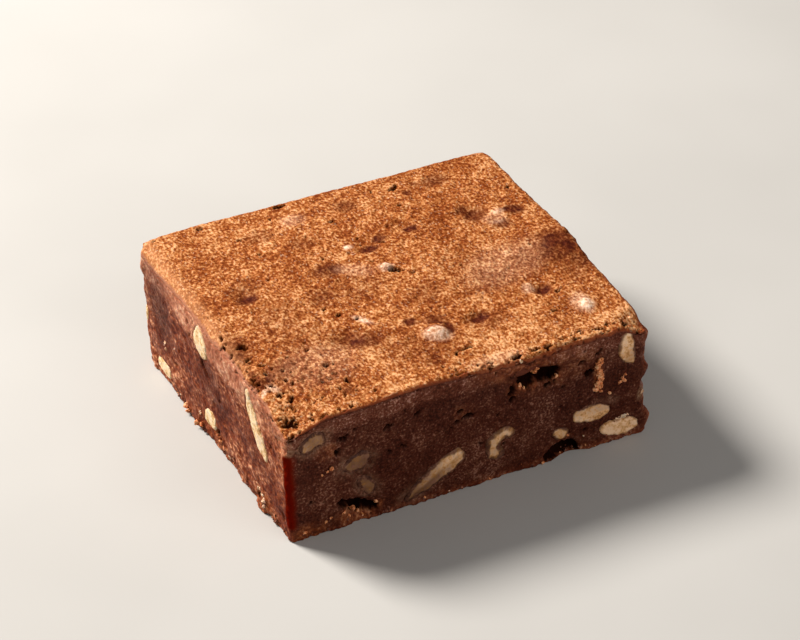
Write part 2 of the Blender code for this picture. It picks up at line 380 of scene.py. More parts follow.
    def top_rise(self, x: Array, y: Array, u: Array, v: Array) -> Array:
        """How far the crust stands above the plain box.

        Args:
            x: Place along X.
            y: Place along Y.
            u: Place between the left and right sides, -1 to 1.
            v: Place between the front and back sides, -1 to 1.

        Returns:
            The rise for each point.
        """
        rise = self.top_swell * self.swell(x, y, np.zeros(len(x)), self.top_swell_length, (0, 0, 0))
        rise += self.top_dome * ((1 - u * u) * (1 - v * v) - 0.3)
        for place_x, place_y, height, radius in self.relief:
            away = np.hypot(x + self.width / 2 - place_x * MM, y + self.depth / 2 - place_y * MM)
            rise += height * MM * bell(away, radius * MM)
        return rise

    def points(self, x: Array, y: Array, z: Array, worn: bool = True) -> Array:
        """Carries points of the plain box to their places on the block, before it is centred.

        Args:
            x: Place along X on the plain box.
            y: Place along Y.
            z: Height.
            worn: Whether the finer wear is added.

        Returns:
            One row of X, Y and Z for each point.
        """
        sign_x, sign_y = np.where(x > 0, 1, -1), np.where(y > 0, 1, -1)
        in_x, in_y = self.width / 2 - np.abs(x), self.depth / 2 - np.abs(y)
        radius = np.zeros(len(x))
        for (corner_x, corner_y), _, _, base, top in self.corners:
            here = (sign_x == corner_x) & (sign_y == corner_y)
            radius = np.where(here, (base + (top - base) * (z / self.height) ** 4) * MM, radius)
        in_x, in_y = self.rounded(in_x, in_y, radius)
        edge, down = np.minimum(in_x, in_y), self.height - z
        sag = np.maximum(0, -2 * x / self.width) ** 8 * (1 - bell(y + self.depth / 2, self.sag_start))
        rim = self.rim_radius + (self.left_rim_radius - self.rim_radius) * sag
        rim_in, down = self.rounded(edge, down, rim)
        moved = rim_in - edge
        in_x, in_y = in_x + moved * (in_x <= in_y), in_y + moved * (in_y < in_x)
        x, y = sign_x * (self.width / 2 - in_x), sign_y * (self.depth / 2 - in_y)
        z = self.height - down
        u, v, w = 2 * x / self.width, 2 * y / self.depth, z / self.height
        push_x, push_y = self.side_push(x, y, z, u, v, worn)
        rise = self.top_rise(x, y, u, v) * np.clip(w, 0, None) ** self.top_power
        place = np.stack([x + push_x, y + push_y, z + rise], axis=1)
        for (corner_x, corner_y), top, base, _, _ in self.corners:
            share = (1 + corner_x * u) * (1 + corner_y * v) / 4 * MM
            place[:, 0] += share * (w * top[0] + (1 - w) * base[0])
            place[:, 1] += share * (w * top[1] + (1 - w) * base[1])
        return place


class Net:
    """A mesh in the making: its faces, and where each corner of a face lies on the flat map."""

    def __init__(self) -> None:
        """Starts with no faces."""
        self.faces: list = []
        self.flat: list[Array] = []

    def add(self, faces: list[Array], flat: list[Array]) -> None:
        """Adds faces of one kind.

        Args:
            faces: For each corner, the point numbers of all faces.
            flat: For each corner, the places of all faces on the flat map, 0 to 1.
        """
        self.faces.extend(np.stack(faces, axis=1).tolist())
        self.flat.append(np.stack(flat, axis=1).reshape(-1, 2))

    def to_object(self, name: str, points: Array) -> Item:
        """Makes the mesh.

        Args:
            name: The object's name.
            points: One row of X, Y and Z for each point.

        Returns:
            A smooth object at the origin.
        """
        mesh = bpy.data.meshes.new(name)
        mesh.from_pydata(points.tolist(), [], self.faces)
        layer = mesh.uv_layers.new(name="OFBake")
        layer.data.foreach_set("uv", np.concatenate(self.flat).astype(np.float32).ravel())
        return link(name, mesh)


def link(name: str, mesh: Mesh) -> Item:
    """Puts a smooth object with that mesh into the scene.

    Args:
        name: The object's name.
        mesh: Its mesh.

    Returns:
        The object.
    """
    mesh.shade_smooth()
    item = bpy.data.objects.new(name, mesh)
    bpy.context.scene.collection.objects.link(item)
    return item


def store(item: Item, name: str, values: Array) -> None:
    """Gives each point of an object a number that its finish or its relief reads.

    Args:
        item: The object.
        name: The attribute's name.
        values: One number for each point.
    """
    layer = item.data.attributes.get(name) or item.data.attributes.new(name, "FLOAT", "POINT")
    layer.data.foreach_set("value", np.asarray(values, np.float32))


def read_points(mesh: Mesh) -> Array:
    """The places of a mesh's points, one row each."""
    flat = np.empty(len(mesh.vertices) * 3, np.float32)
    mesh.vertices.foreach_get("co", flat)
    return flat.reshape(-1, 3).astype(float)


def write_points(mesh: Mesh, points: Array) -> None:
    """Puts a mesh's points at new places."""
    mesh.vertices.foreach_set("co", points.astype(np.float32).ravel())
    mesh.update()


def read_normals(mesh: Mesh) -> Array:
    """The directions that a mesh's points face, one row each."""
    flat = np.empty(len(mesh.vertices) * 3, np.float32)
    mesh.vertex_normals.foreach_get("vector", flat)
    return flat.reshape(-1, 3).astype(float)


def plain_mesh(item: Item) -> Item:
    """Keeps what an object's modifiers make as its own mesh, and drops the modifiers."""
    bpy.context.view_layer.update()
    graph = bpy.context.evaluated_depsgraph_get()
    made = item.evaluated_get(graph)
    mesh = bpy.data.meshes.new_from_object(made, preserve_all_data_layers=True, depsgraph=graph)
    item.modifiers.clear()
    old, item.data = item.data, mesh
    mesh.name = item.name
    bpy.data.meshes.remove(old)
    return item


class NodeWeb:
    """Writes a node tree: most methods add a node and give back its outgoing socket."""

    def __init__(self, tree: bpy.types.NodeTree) -> None:
        """Works on one tree.

        Args:
            tree: A shader tree or a geometry tree.
        """
        self.tree = tree

    def add(self, kind: str, inputs: dict | None = None, **settings) -> bpy.types.Node:
        """Adds a node.

        Args:
            kind: The node's type.
            inputs: Values or sockets by input name or number.
            **settings: The node's own properties.

        Returns:
            The node.
        """
        node = self.tree.nodes.new(kind)
        for key, value in settings.items():
            setattr(node, key, value)
        for key, value in (inputs or {}).items():
            self.feed(node.inputs[key], value)
        return node

    def feed(self, socket: Socket, value: object) -> None:
        """Links a socket to an input, or sets the input's value."""
        if isinstance(value, Socket):
            self.tree.links.new(value, socket)
        elif value is not None:
            socket.default_value = value

    def maths(self, operation: str, a: object, b: object = None) -> Socket:
        """A sum, product or the like of one or two numbers."""
        return self.add("ShaderNodeMath", {0: a, 1: b}, operation=operation).outputs[0]

    def vector(self, operation: str, a: object, b: object = None) -> Socket:
        """A sum, product or the like of one or two places."""
        return self.add("ShaderNodeVectorMath", {0: a, 1: b}, operation=operation).outputs[0]

    def centred(self, colour: object) -> Socket:
        """A noisy colour as a push either way from nothing."""
        return self.vector("SUBTRACT", colour, HALVES)

    def scaled(self, place: object, scale: object) -> Socket:
        """A place times a number."""
        return self.add("ShaderNodeVectorMath", {0: place, "Scale": scale}, operation="SCALE").outputs[0]

    def total(self, *parts: tuple[object, float]) -> Socket:
        """The sum of numbers, each times its weight."""
        result = None
        for number, weight in parts:
            number = self.maths("MULTIPLY", number, weight)
            result = number if result is None else self.maths("ADD", result, number)
        return result

    def ramp(self, value: object, low: float, high: float, start: float = 0, end: float = 1) -> Socket:
        """Softly carries low..high to start..end, and stays there outside."""
        inputs = {0: value, 1: low, 2: high, 3: start, 4: end}
        return self.add("ShaderNodeMapRange", inputs, interpolation_type="SMOOTHSTEP").outputs[0]

    def blend(self, share: object, a: object, b: object, how: str = "MIX") -> Socket:
        """Mixes two colours by a share from 0 to 1."""
        a, b = (c if isinstance(c, Socket) else (*c, 1) for c in (a, b))
        return self.add("ShaderNodeMix", {0: share, 6: a, 7: b}, data_type="RGBA", blend_type=how).outputs[2]

    def shades(self, value: object, colours: Palette) -> Socket:
        """Looks a number from 0 to 1 up on an even scale of colours.

        Args:
            value: The number.
            colours: The scale's colours, from the darkest.

        Returns:
            The colour.
        """
        node = self.add("ShaderNodeValToRGB", {0: value})
        stops, last = node.color_ramp.elements, len(colours) - 1
        for step, colour in enumerate(colours):
            stop = stops[0] if step == 0 else stops[-1] if step == last else stops.new(step / last)
            stop.color = (*colour, 1)
        return node.outputs[0]

    def grain(self, place: object, size: float, detail: float = 2, rough: float = 0.55) -> Socket:
        """Noise whose bumps are about size millimetres across, mostly 0.3 to 0.7."""
        inputs = {"Vector": place, "Scale": BUMPS / (size * MM), "Detail": detail, "Roughness": rough}
        return self.add("ShaderNodeTexNoise", inputs).outputs["Fac"]

    def jostled(self, place: object, size: float, far: float) -> Socket:
        """The place, pushed about by noise, so that patterns on it turn uneven.

        Args:
            place: The place.
            size: How big the noise's bumps are, in millimetres.
            far: How far it pushes, in millimetres.

        Returns:
            The pushed place.
        """
        inputs = {"Vector": place, "Scale": BUMPS / (size * MM)}
        noisy = self.add("ShaderNodeTexNoise", inputs).outputs["Color"]
        return self.vector("ADD", place, self.scaled(self.centred(noisy), far * MM))


@dataclass(frozen=True)
class Soft:
    """How light scatters inside a soft thing: its share, how far each colour goes, and millimetres."""

    share: float
    tint: Colour
    reach: float


class ShaderWeb(NodeWeb):
    """The node tree of one material, with its surface shader."""

    def __init__(self, name: str) -> None:
        """Makes the material.

        Args:
            name: The material's name.
        """
        self.material = bpy.data.materials.new(name)
        self.material.use_nodes = True
        super().__init__(self.material.node_tree)
        self.shader = self.tree.nodes["Principled BSDF"]
        self.place = self.add("ShaderNodeTexCoord").outputs["Object"]

    def mark(self, name: str) -> Socket:
        """The number that the piece's points carry under that name."""
        return self.add("ShaderNodeAttribute", attribute_name=name).outputs["Fac"]

    def finish(
        self, colour: Socket, roughness: Socket, height: Socket, depth: float, sheen: object, soft: Soft
    ) -> Material:
        """Wires the shader.

        Args:
            colour: The base colour.
            roughness: The roughness.
            height: The relief, 0 to 1.
            depth: How deep the relief is, in millimetres.
            sheen: The level of the mirror-like shine.
            soft: How light scatters inside.

        Returns:
            The material.
        """
        bump = self.add("ShaderNodeBump", {"Height": height, "Distance": depth * MM, "Strength": 1.0})
        self.feed(self.shader.inputs["Base Color"], colour)
        self.feed(self.shader.inputs["Roughness"], roughness)
        self.feed(self.shader.inputs["Normal"], bump.outputs["Normal"])
        self.feed(self.shader.inputs["Specular IOR Level"], sheen)
        self.feed(self.shader.inputs["Subsurface Weight"], soft.share)
        self.feed(self.shader.inputs["Subsurface Radius"], soft.tint)
        self.feed(self.shader.inputs["Subsurface Scale"], soft.reach * MM)
        return self.material


@dataclass(frozen=True)
class CrustFinish:
    """The baked crust: fine tan grains over brown, with darker stains and pale bumps."""

    grains: Palette = (
        (0.12, 0.019, 0.002), (0.21, 0.045, 0.007), (0.335, 0.096, 0.021), (0.51, 0.20, 0.066),
        (0.80, 0.42, 0.20),
    )
    stained: Palette = ((0.038, 0.004, 0.001), (0.078, 0.011, 0.003), (0.17, 0.039, 0.010))
    pale: Palette = ((0.42, 0.17, 0.08), (0.78, 0.49, 0.33), (0.96, 0.76, 0.60))
    smooth: Palette = ((0.38, 0.145, 0.052), (0.50, 0.215, 0.088), (0.64, 0.31, 0.15))
    rolled: Colour = (0.24, 0.050, 0.016)
    crumb: Colour = (0.12, 0.030, 0.016)
    side_crumb: Colour = (0.38, 0.15, 0.085)
    # Painted shade: the near-black colour laid into pits and pinholes, where light doesn't reach.
    pit_shade: Colour = (0.030, 0.005, 0.001)
    # Painted highlights: the colour of tiny glints on the grains.
    painted_glint: Colour = (0.94, 0.64, 0.42)
    soft: Soft = Soft(0.1, (1.0, 0.35, 0.12), 0.4)

    def material(self) -> Material:
        """The node material."""
        web = ShaderWeb("baked_crust")
        place = web.jostled(web.vector("MULTIPLY", web.place, (1, 0.72, 1)), 0.9, 0.2)
        fine = web.grain(place, 0.28, 2, 0.6)
        middle = web.grain(web.place, 1.4, 2)
        patch = web.grain(web.place, 6.5, 4, 0.62)
        tone = web.total((fine, 0.88), (middle, 0.34), (patch, 0.38), (web.mark("tone"), 1.0))
        tone = web.ramp(tone, 0.56, 1.05)
        colour = web.shades(tone, self.grains)
        colour = web.blend(web.mark("smooth"), colour, web.shades(tone, self.smooth))
        colour = web.blend(web.mark("stain"), colour, web.shades(tone, self.stained))
        colour = web.blend(web.mark("pale"), colour, web.shades(tone, self.pale))
        # Painted glints on the grains, fewer in the stains.
        painted_glint = web.ramp(web.grain(place, 0.22, 0), 0.68, 0.78, 0, 0.3)
        painted_glint = web.maths("MULTIPLY", painted_glint, web.ramp(web.mark("stain"), 0, 0.6, 1, 0))
        colour = web.blend(painted_glint, colour, self.painted_glint)
        edge = web.mark("edge")
        crumb = web.blend(web.ramp(web.mark("left"), 0, 1), self.crumb, self.side_crumb)
        rolled = web.blend(web.mark("left"), self.rolled, self.side_crumb)
        colour = web.blend(web.ramp(edge, 0.05, 0.5, 0, 0.9), colour, rolled)
        colour = web.blend(web.ramp(edge, 0.62, 1.0), colour, crumb)
        # Painted shade in the pits and pinholes.
        colour = web.blend(web.mark("pit_shade"), colour, self.pit_shade)
        height = web.total((fine, 0.7), (middle, 0.3))
        sheen = web.ramp(web.mark("pit_shade"), 0, 0.5, 0.06, 0.0)
        return web.finish(colour, web.ramp(fine, 0.3, 0.7, 0.78, 0.55), height, 0.28, sheen, self.soft)


@dataclass(frozen=True)
class CrumbFinish:
    """The cut fudge crumb: dark, close and damp, or drier and paler with fine flecks."""

    damp: Palette = (
        (0.020, 0.003, 0.001), (0.046, 0.008, 0.003), (0.062, 0.014, 0.007), (0.088, 0.026, 0.014),
        (0.23, 0.10, 0.066),
    )
    dry: Palette = (
        (0.058, 0.007, 0.002), (0.105, 0.015, 0.004), (0.175, 0.034, 0.010), (0.28, 0.078, 0.030),
        (0.70, 0.32, 0.17),
    )
    broken: Palette = ((0.06, 0.010, 0.003), (0.26, 0.062, 0.017), (0.62, 0.24, 0.10))
    film: Palette = ((0.09, 0.035, 0.016), (0.22, 0.115, 0.065), (0.38, 0.24, 0.16))
    # The paler band under the crust: what the damp crumb is multiplied by there, and the dry crumb's colours.
    band: Colour = (1.9, 2.2, 2.45)
    dry_band: Palette = (
        (0.20, 0.056, 0.024), (0.29, 0.092, 0.045), (0.37, 0.135, 0.072), (0.48, 0.205, 0.115),
        (0.68, 0.37, 0.23),
    )
    # Light through the thin fudge at the near corner.
    glow: Colour = (0.105, 0.004, 0.0006)
    # Painted shade: the near-black colour laid into the pits of the cut sides.
    pit_shade: Colour = (0.008, 0.002, 0.001)
    soft: Soft = Soft(0.12, (1.0, 0.16, 0.06), 0.8)

    def material(self) -> Material:
        """The node material."""
        web = ShaderWeb("fudge_crumb")
        place = web.jostled(web.vector("MULTIPLY", web.place, (1, 0.7, 0.9)), 1.0, 0.8)
        fine = web.grain(place, 0.36, 2, 0.55)
        middle = web.grain(place, 1.1, 2)
        patch = web.grain(web.place, 5, 3)
        dry = web.mark("dry")
        tone = web.ramp(web.total((fine, 0.58), (middle, 0.30), (patch, 0.36)), 0.40, 0.84)
        close = web.total((web.grain(web.place, 0.24, 2), 0.7), (middle, 0.2), (patch, 0.36))
        damp = web.shades(web.ramp(close, 0.45, 0.83), self.damp)
        band = web.blend(dry, web.blend(1.0, damp, self.band, "MULTIPLY"), web.shades(tone, self.dry_band))
        colour = web.blend(web.mark("band"), web.blend(dry, damp, web.shades(tone, self.dry)), band)
        loose = web.ramp(middle, 0.36, 0.52, 0.45, 1)
        for name, palette in (("film", self.film), ("broken", self.broken)):
            share = web.maths("MULTIPLY", web.mark(name), loose)
            colour = web.blend(share, colour, web.shades(tone, palette))
        colour = web.blend(web.mark("glow"), colour, self.glow)
        # Painted shade in the pits.
        colour = web.blend(web.mark("pit_shade"), colour, self.pit_shade)
        height = web.total((fine, 0.6), (middle, 0.4))
        sheen = web.ramp(web.maths("ADD", web.mark("glow"), web.mark("pit_shade")), 0, 1, 0.07, 0.0)
        return web.finish(colour, web.ramp(middle, 0.3, 0.7, 0.66, 0.42), height, 0.26, sheen, self.soft)


@dataclass(frozen=True)
class WalnutFinish:
    """Cut walnut: pale cream, browner at its rims, filmed over with fudge in places."""

    flesh: Palette = ((0.42, 0.22, 0.07), (0.74, 0.48, 0.225), (0.92, 0.73, 0.49))
    skin: Colour = (0.30, 0.13, 0.045)
    # Painted shade tint: walnut pieces on the shaded front side are multiplied by it, and those on the shaded
    # right side by half of it, which makes them more orange.
    tan: Colour = (1.0, 0.85, 0.80)
    fudge: Palette = ((0.050, 0.013, 0.006), (0.105, 0.037, 0.019), (0.21, 0.090, 0.050))
    soft: Soft = Soft(0.15, (1.0, 0.6, 0.3), 0.5)

    def material(self) -> Material:
        """The node material."""
        web = ShaderWeb("cut_walnut")
        place = web.jostled(web.place, 1.0, 0.5)
        cloud = web.grain(place, 0.9, 3)
        fine = web.grain(place, 0.28, 2)
        tone = web.ramp(web.total((fine, 0.45), (cloud, 0.7), (web.mark("film"), -0.12)), 0.38, 0.68)
        colour = web.shades(tone, self.flesh)
        # Painted shade tint on the walnut pieces of the shaded sides.
        colour = web.blend(web.mark("tan"), colour, self.tan, "MULTIPLY")
        colour = web.blend(web.mark("skin"), colour, self.skin)
        broad = web.grain(web.place, 2.2, 2)
        covered = web.total((web.mark("film"), 1.0), (cloud, 1.1), (fine, 0.6), (broad, 0.5))
        colour = web.blend(web.ramp(covered, 1.05, 1.85), colour, web.shades(tone, self.fudge))
        height = web.total((cloud, 0.6), (fine, 0.4))
        return web.finish(colour, web.ramp(fine, 0.3, 0.7, 0.58, 0.40), height, 0.26, 0.2, self.soft)


@dataclass(frozen=True)
class BitFinish:
    """Loose crumbs of one kind."""

    name: str
    colours: Palette
    soft: Soft = Soft(0.12, (1.0, 0.3, 0.1), 0.4)

    def material(self) -> Material:
        """The node material."""
        web = ShaderWeb(self.name)
        cloud = web.grain(web.place, 0.6, 3)
        fine = web.grain(web.place, 0.2, 2)
        tone = web.ramp(web.total((cloud, 0.5), (fine, 0.5)), 0.34, 0.66)
        roughness = web.ramp(fine, 0.3, 0.7, 0.8, 0.55)
        return web.finish(web.shades(tone, self.colours), roughness, tone, 0.12, 0.12, self.soft)


@dataclass(frozen=True)
class FloorFinish:
    """Plain pale paper."""

    tones: Palette = ((0.49, 0.48, 0.465), (0.53, 0.52, 0.505))
    soft: Soft = Soft(0.0, (1.0, 0.2, 0.1), 50.0)

    def material(self) -> Material:
        """The node material."""
        web = ShaderWeb("pale_floor")
        cloud = web.grain(web.place, 60, 3)
        colour = web.shades(web.ramp(cloud, 0.3, 0.7), self.tones)
        return web.finish(colour, web.ramp(cloud, 0.3, 0.7, 0.85, 0.75), cloud, 0.02, 0.2, self.soft)


class GeometryTree(NodeWeb):
    """A geometry node tree with named inputs."""

    def __init__(self, name: str) -> None:
        """Makes an empty tree with its geometry sockets.

        Args:
            name: The tree's name.
        """
        super().__init__(bpy.data.node_groups.new(name, "GeometryNodeTree"))
        for way in ("INPUT", "OUTPUT"):
            self.tree.interface.new_socket("Geometry", in_out=way, socket_type="NodeSocketGeometry")
        self.start = self.add("NodeGroupInput")
        self.sockets: dict[str, str] = {}

    def ask(self, name: str, kind: str) -> Socket:
        """Adds a named input.

        Args:
            name: What it is called.
            kind: Float, Int or Material.

        Returns:
            The socket that gives its value inside the tree.
        """
        item = self.tree.interface.new_socket(name, in_out="INPUT", socket_type=f"NodeSocket{kind}")
        self.sockets[name] = item.identifier
        return self.start.outputs[name]

    def number(self, name: str) -> Socket:
        """The number that the points carry under that name."""
        return self.add("GeometryNodeInputNamedAttribute", {"Name": name}, data_type="FLOAT").outputs[0]

    def moved(self, geometry: object, offset: object) -> Socket:
        """The geometry with each point moved."""
        return self.add("GeometryNodeSetPosition", {"Geometry": geometry, "Offset": offset}).outputs[0]

    def end(self, geometry: Socket, finish: Socket) -> None:
        """Closes the tree with Realize Instances and Set Material.

        Args:
            geometry: What the tree made.
            finish: The material input.
        """
        real = self.add("GeometryNodeRealizeInstances", {0: geometry}).outputs[0]
        dressed = self.add("GeometryNodeSetMaterial", {"Geometry": real, "Material": finish}).outputs[0]
        self.add("NodeGroupOutput", {0: dressed})

    def apply(self, item: Item, **values) -> Item:
        """Runs the tree on an object and keeps the result as its plain mesh.

        Args:
            item: The object.
            **values: Each input by name, with spaces as underscores.

        Returns:
            The same object, without a modifier.
        """
        modifier = item.modifiers.new(self.tree.name, "NODES")
        modifier.node_group = self.tree
        for key, value in values.items():
            modifier[self.sockets[key.replace("_", " ")]] = value
        return plain_mesh(item)


class GrainRelief(GeometryTree):
    """Raises fine grains on a surface, as far as its "rough" attribute lets them."""

    def __init__(self) -> None:
        """Builds the tree."""
        super().__init__("grain_relief")
        size, height = self.ask("Grain Size", "Float"), self.ask("Grain Height", "Float")
        stretch, finish = self.ask("Stretch Back", "Float"), self.ask("Finish", "Material")
        squeeze = {0: 1.0, 1: self.maths("DIVIDE", 1.0, stretch), 2: 1.0}
        shape = self.add("ShaderNodeCombineXYZ", squeeze).outputs[0]
        place = self.vector("MULTIPLY", self.add("GeometryNodeInputPosition").outputs[0], shape)
        scale = self.maths("DIVIDE", BUMPS, size)
        where = {"Vector": place, "Scale": scale}
        lumps = self.add("ShaderNodeTexNoise", {**where, "Detail": 2.5, "Roughness": 0.55})
        cups = self.add("ShaderNodeTexVoronoi", {**where, "Smoothness": 0.3}, feature="SMOOTH_F1")
        relief = self.total((lumps.outputs["Fac"], 1.0), (cups.outputs["Distance"], -0.3))
        relief = self.maths("MULTIPLY", self.maths("SUBTRACT", relief, 0.36), height)
        normal = self.add("GeometryNodeInputNormal").outputs[0]
        offset = self.scaled(normal, self.maths("MULTIPLY", relief, self.number("rough")))
        self.end(self.moved(self.start.outputs[0], offset), finish)


class CrumbThrow(GeometryTree):
    """Puts a lumpy crumb on each point, as big as its "size" attribute says."""

    def __init__(self) -> None:
        """Builds the tree."""
        super().__init__("crumb_throw")
        lumpiness, seed = self.ask("Lumpiness", "Float"), self.ask("Seed", "Int")
        finish = self.ask("Finish", "Material")
        ball = self.add("GeometryNodeMeshIcoSphere", {"Radius": 0.5, "Subdivisions": 2}).outputs[0]
        turn = self.spread(seed, (0, 0, 0), FULL_TURN)
        squeeze = self.spread(self.maths("ADD", seed, 5), (0.6, 0.6, 0.5), (1.3, 1.15, 1.0))
        size = self.number("size")
        grown = {"Instance": ball, "Rotation": turn, "Scale": self.scaled(squeeze, size)}
        put = self.add("GeometryNodeInstanceOnPoints", {"Points": self.start.outputs[0], **grown}).outputs[0]
        real = self.add("GeometryNodeRealizeInstances", {0: put}).outputs[0]
        place = self.add("GeometryNodeInputPosition").outputs[0]
        inputs = {"Vector": place, "Scale": 2400.0, "Detail": 2.0}
        noisy = self.add("ShaderNodeTexNoise", inputs).outputs["Color"]
        push = self.scaled(self.centred(noisy), self.maths("MULTIPLY", size, lumpiness))
        self.end(self.moved(real, push), finish)

    def spread(self, seed: object, low: tuple, high: tuple) -> Socket:
        """A random place in a box for each point."""
        inputs = {0: low, 1: high, "Seed": seed}
        return self.add("FunctionNodeRandomValue", inputs, data_type="FLOAT_VECTOR").outputs[0]


@dataclass
class Block:
    """Where everything on the brownie is: the form, centred as its CAD solid is, and its rim."""

    form: BlockForm = field(default_factory=BlockForm)
    cells_x: int = 256
    cells_y: int = 224
    # How far down the crust reaches: millimetres along each side and millimetres below its top edge.
    crust_ends: dict = field(
        default_factory=lambda: {
            Side.FRONT: (
                (0, 1.2), (3, 0.8), (25, 0.7), (33, 1.0), (40, 1.5), (52, 1.8), (58, 1.4), (70, 0.9),
            ),
            Side.RIGHT: ((0, 0.8), (20, 1.0), (30, 1.5), (45, 0.8), (62, 0.9)),
            Side.BACK: ((0, 2.4), (8, 1.0), (40, 0.7), (70, 0.9)),
            Side.LEFT: (
                (0, 1.4), (10, 1.4), (17, 1.5), (23, 1.3), (31, 2.3), (44, 2.0), (54, 3.0), (62, 2.6),
            ),
        }
    )

    def __post_init__(self) -> None:
        """Works out the rim's walk and how far the form has to move to stand on the origin."""
        f, nx, ny = self.form, self.cells_x, self.cells_y
        self.xs = np.linspace(-f.width / 2, f.width / 2, nx + 1)
        self.ys = np.linspace(-f.depth / 2, f.depth / 2, ny + 1)
        self.rim_i = np.concatenate([np.arange(nx), np.full(ny, nx), np.arange(nx, 0, -1), np.zeros(ny, int)])
        self.rim_j = np.concatenate([np.zeros(nx, int), np.arange(ny), np.full(nx, ny), np.arange(ny, 0, -1)])
        self.rim_side = np.repeat([0, 1, 2, 3], [nx, ny, nx, ny])
        self.rim_x, self.rim_y = self.xs[self.rim_i], self.ys[self.rim_j]
        right, back = self.rim_x + f.width / 2, self.rim_y + f.depth / 2
        self.rim_along = np.where(self.rim_side % 2 == 0, right, back) / MM
        self.count = len(self.rim_i)
        self.after = np.roll(np.arange(self.count), -1)
        rings = 30
        levels = np.repeat(np.linspace(0, f.height, rings), self.count)
        outline = f.points(np.tile(self.rim_x, rings), np.tile(self.rim_y, rings), levels, worn=False)
        middle = (outline.min(0) + outline.max(0)) / 2
        self.step = np.array([-middle[0], -middle[1], 0.0])
        low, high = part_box("brownie")
        gap = np.abs(np.array((high - low)[:2]) - np.ptp(outline, axis=0)[:2]).max()
        LOG.info("the form is within %.2f mm of the CAD block", gap / MM)

    def points(self, x: Array, y: Array, z: Array) -> Array:
        """Places on the centred block for points of the plain box."""
        return self.form.points(x, y, z) + self.step

    def spot(self, side: Side | None, along: float, up: float, out: float) -> Vector:
        """A place on a side or on the crust.

        Args:
            side: Which side, or None for the crust.
            along: Millimetres along the side, or from the left.
            up: Millimetres up it, or from the front.
            out: Millimetres out of its surface.

        Returns:
            The place in metres.
        """
        f = self.form
        x, y, z, outward = along * MM - f.width / 2, up * MM - f.depth / 2, f.height, Vector((0, 0, 1))
        if side:
            z, outward = up * MM, side.outward
            if side.runs_along_x:
                y = outward.y * f.depth / 2
            else:
                x, y = outward.x * f.width / 2, along * MM - f.depth / 2
        place = self.points(*(np.array([value]) for value in (x, y, z)))[0]
        return Vector(place) + outward * out * MM

    def crust_line(self) -> Array:
        """How far below the top edge the crust ends, in millimetres, for each step of the rim."""
        line = np.zeros(self.count)
        for side, table in self.crust_ends.items():
            here = self.rim_side == side.value
            line[here] = np.interp(self.rim_along[here], *zip(*table))
        ring = np.stack([self.rim_x, self.rim_y, np.zeros(self.count)], axis=1)
        line += 0.4 * Ripple(31).layers(ring, 2.6, 4, 0.75) * np.clip(line, 0.6, 1.5)
        return np.maximum(line, 0.3)

    def nearest_rim(self, x: Array, y: Array) -> Array:
        """The step of the rim nearest to places on the crust.

        Args:
            x: Millimetres along the front.
            y: Millimetres along the left side.

        Returns:
            The number of the step for each place.
        """
        wide, deep = self.form.width / MM, self.form.depth / MM
        nx, ny = self.cells_x, self.cells_y
        i = np.clip(np.rint(x / wide * nx).astype(int), 0, nx)
        j = np.clip(np.rint(y / deep * ny).astype(int), 0, ny)
        gaps = np.stack([y, wide - x, deep - y, x])
        walk = np.stack([i, nx + j, 2 * nx + ny - i, 2 * (nx + ny) - j]) % self.count
        return np.take_along_axis(walk, gaps.argmin(0)[None], axis=0)[0]


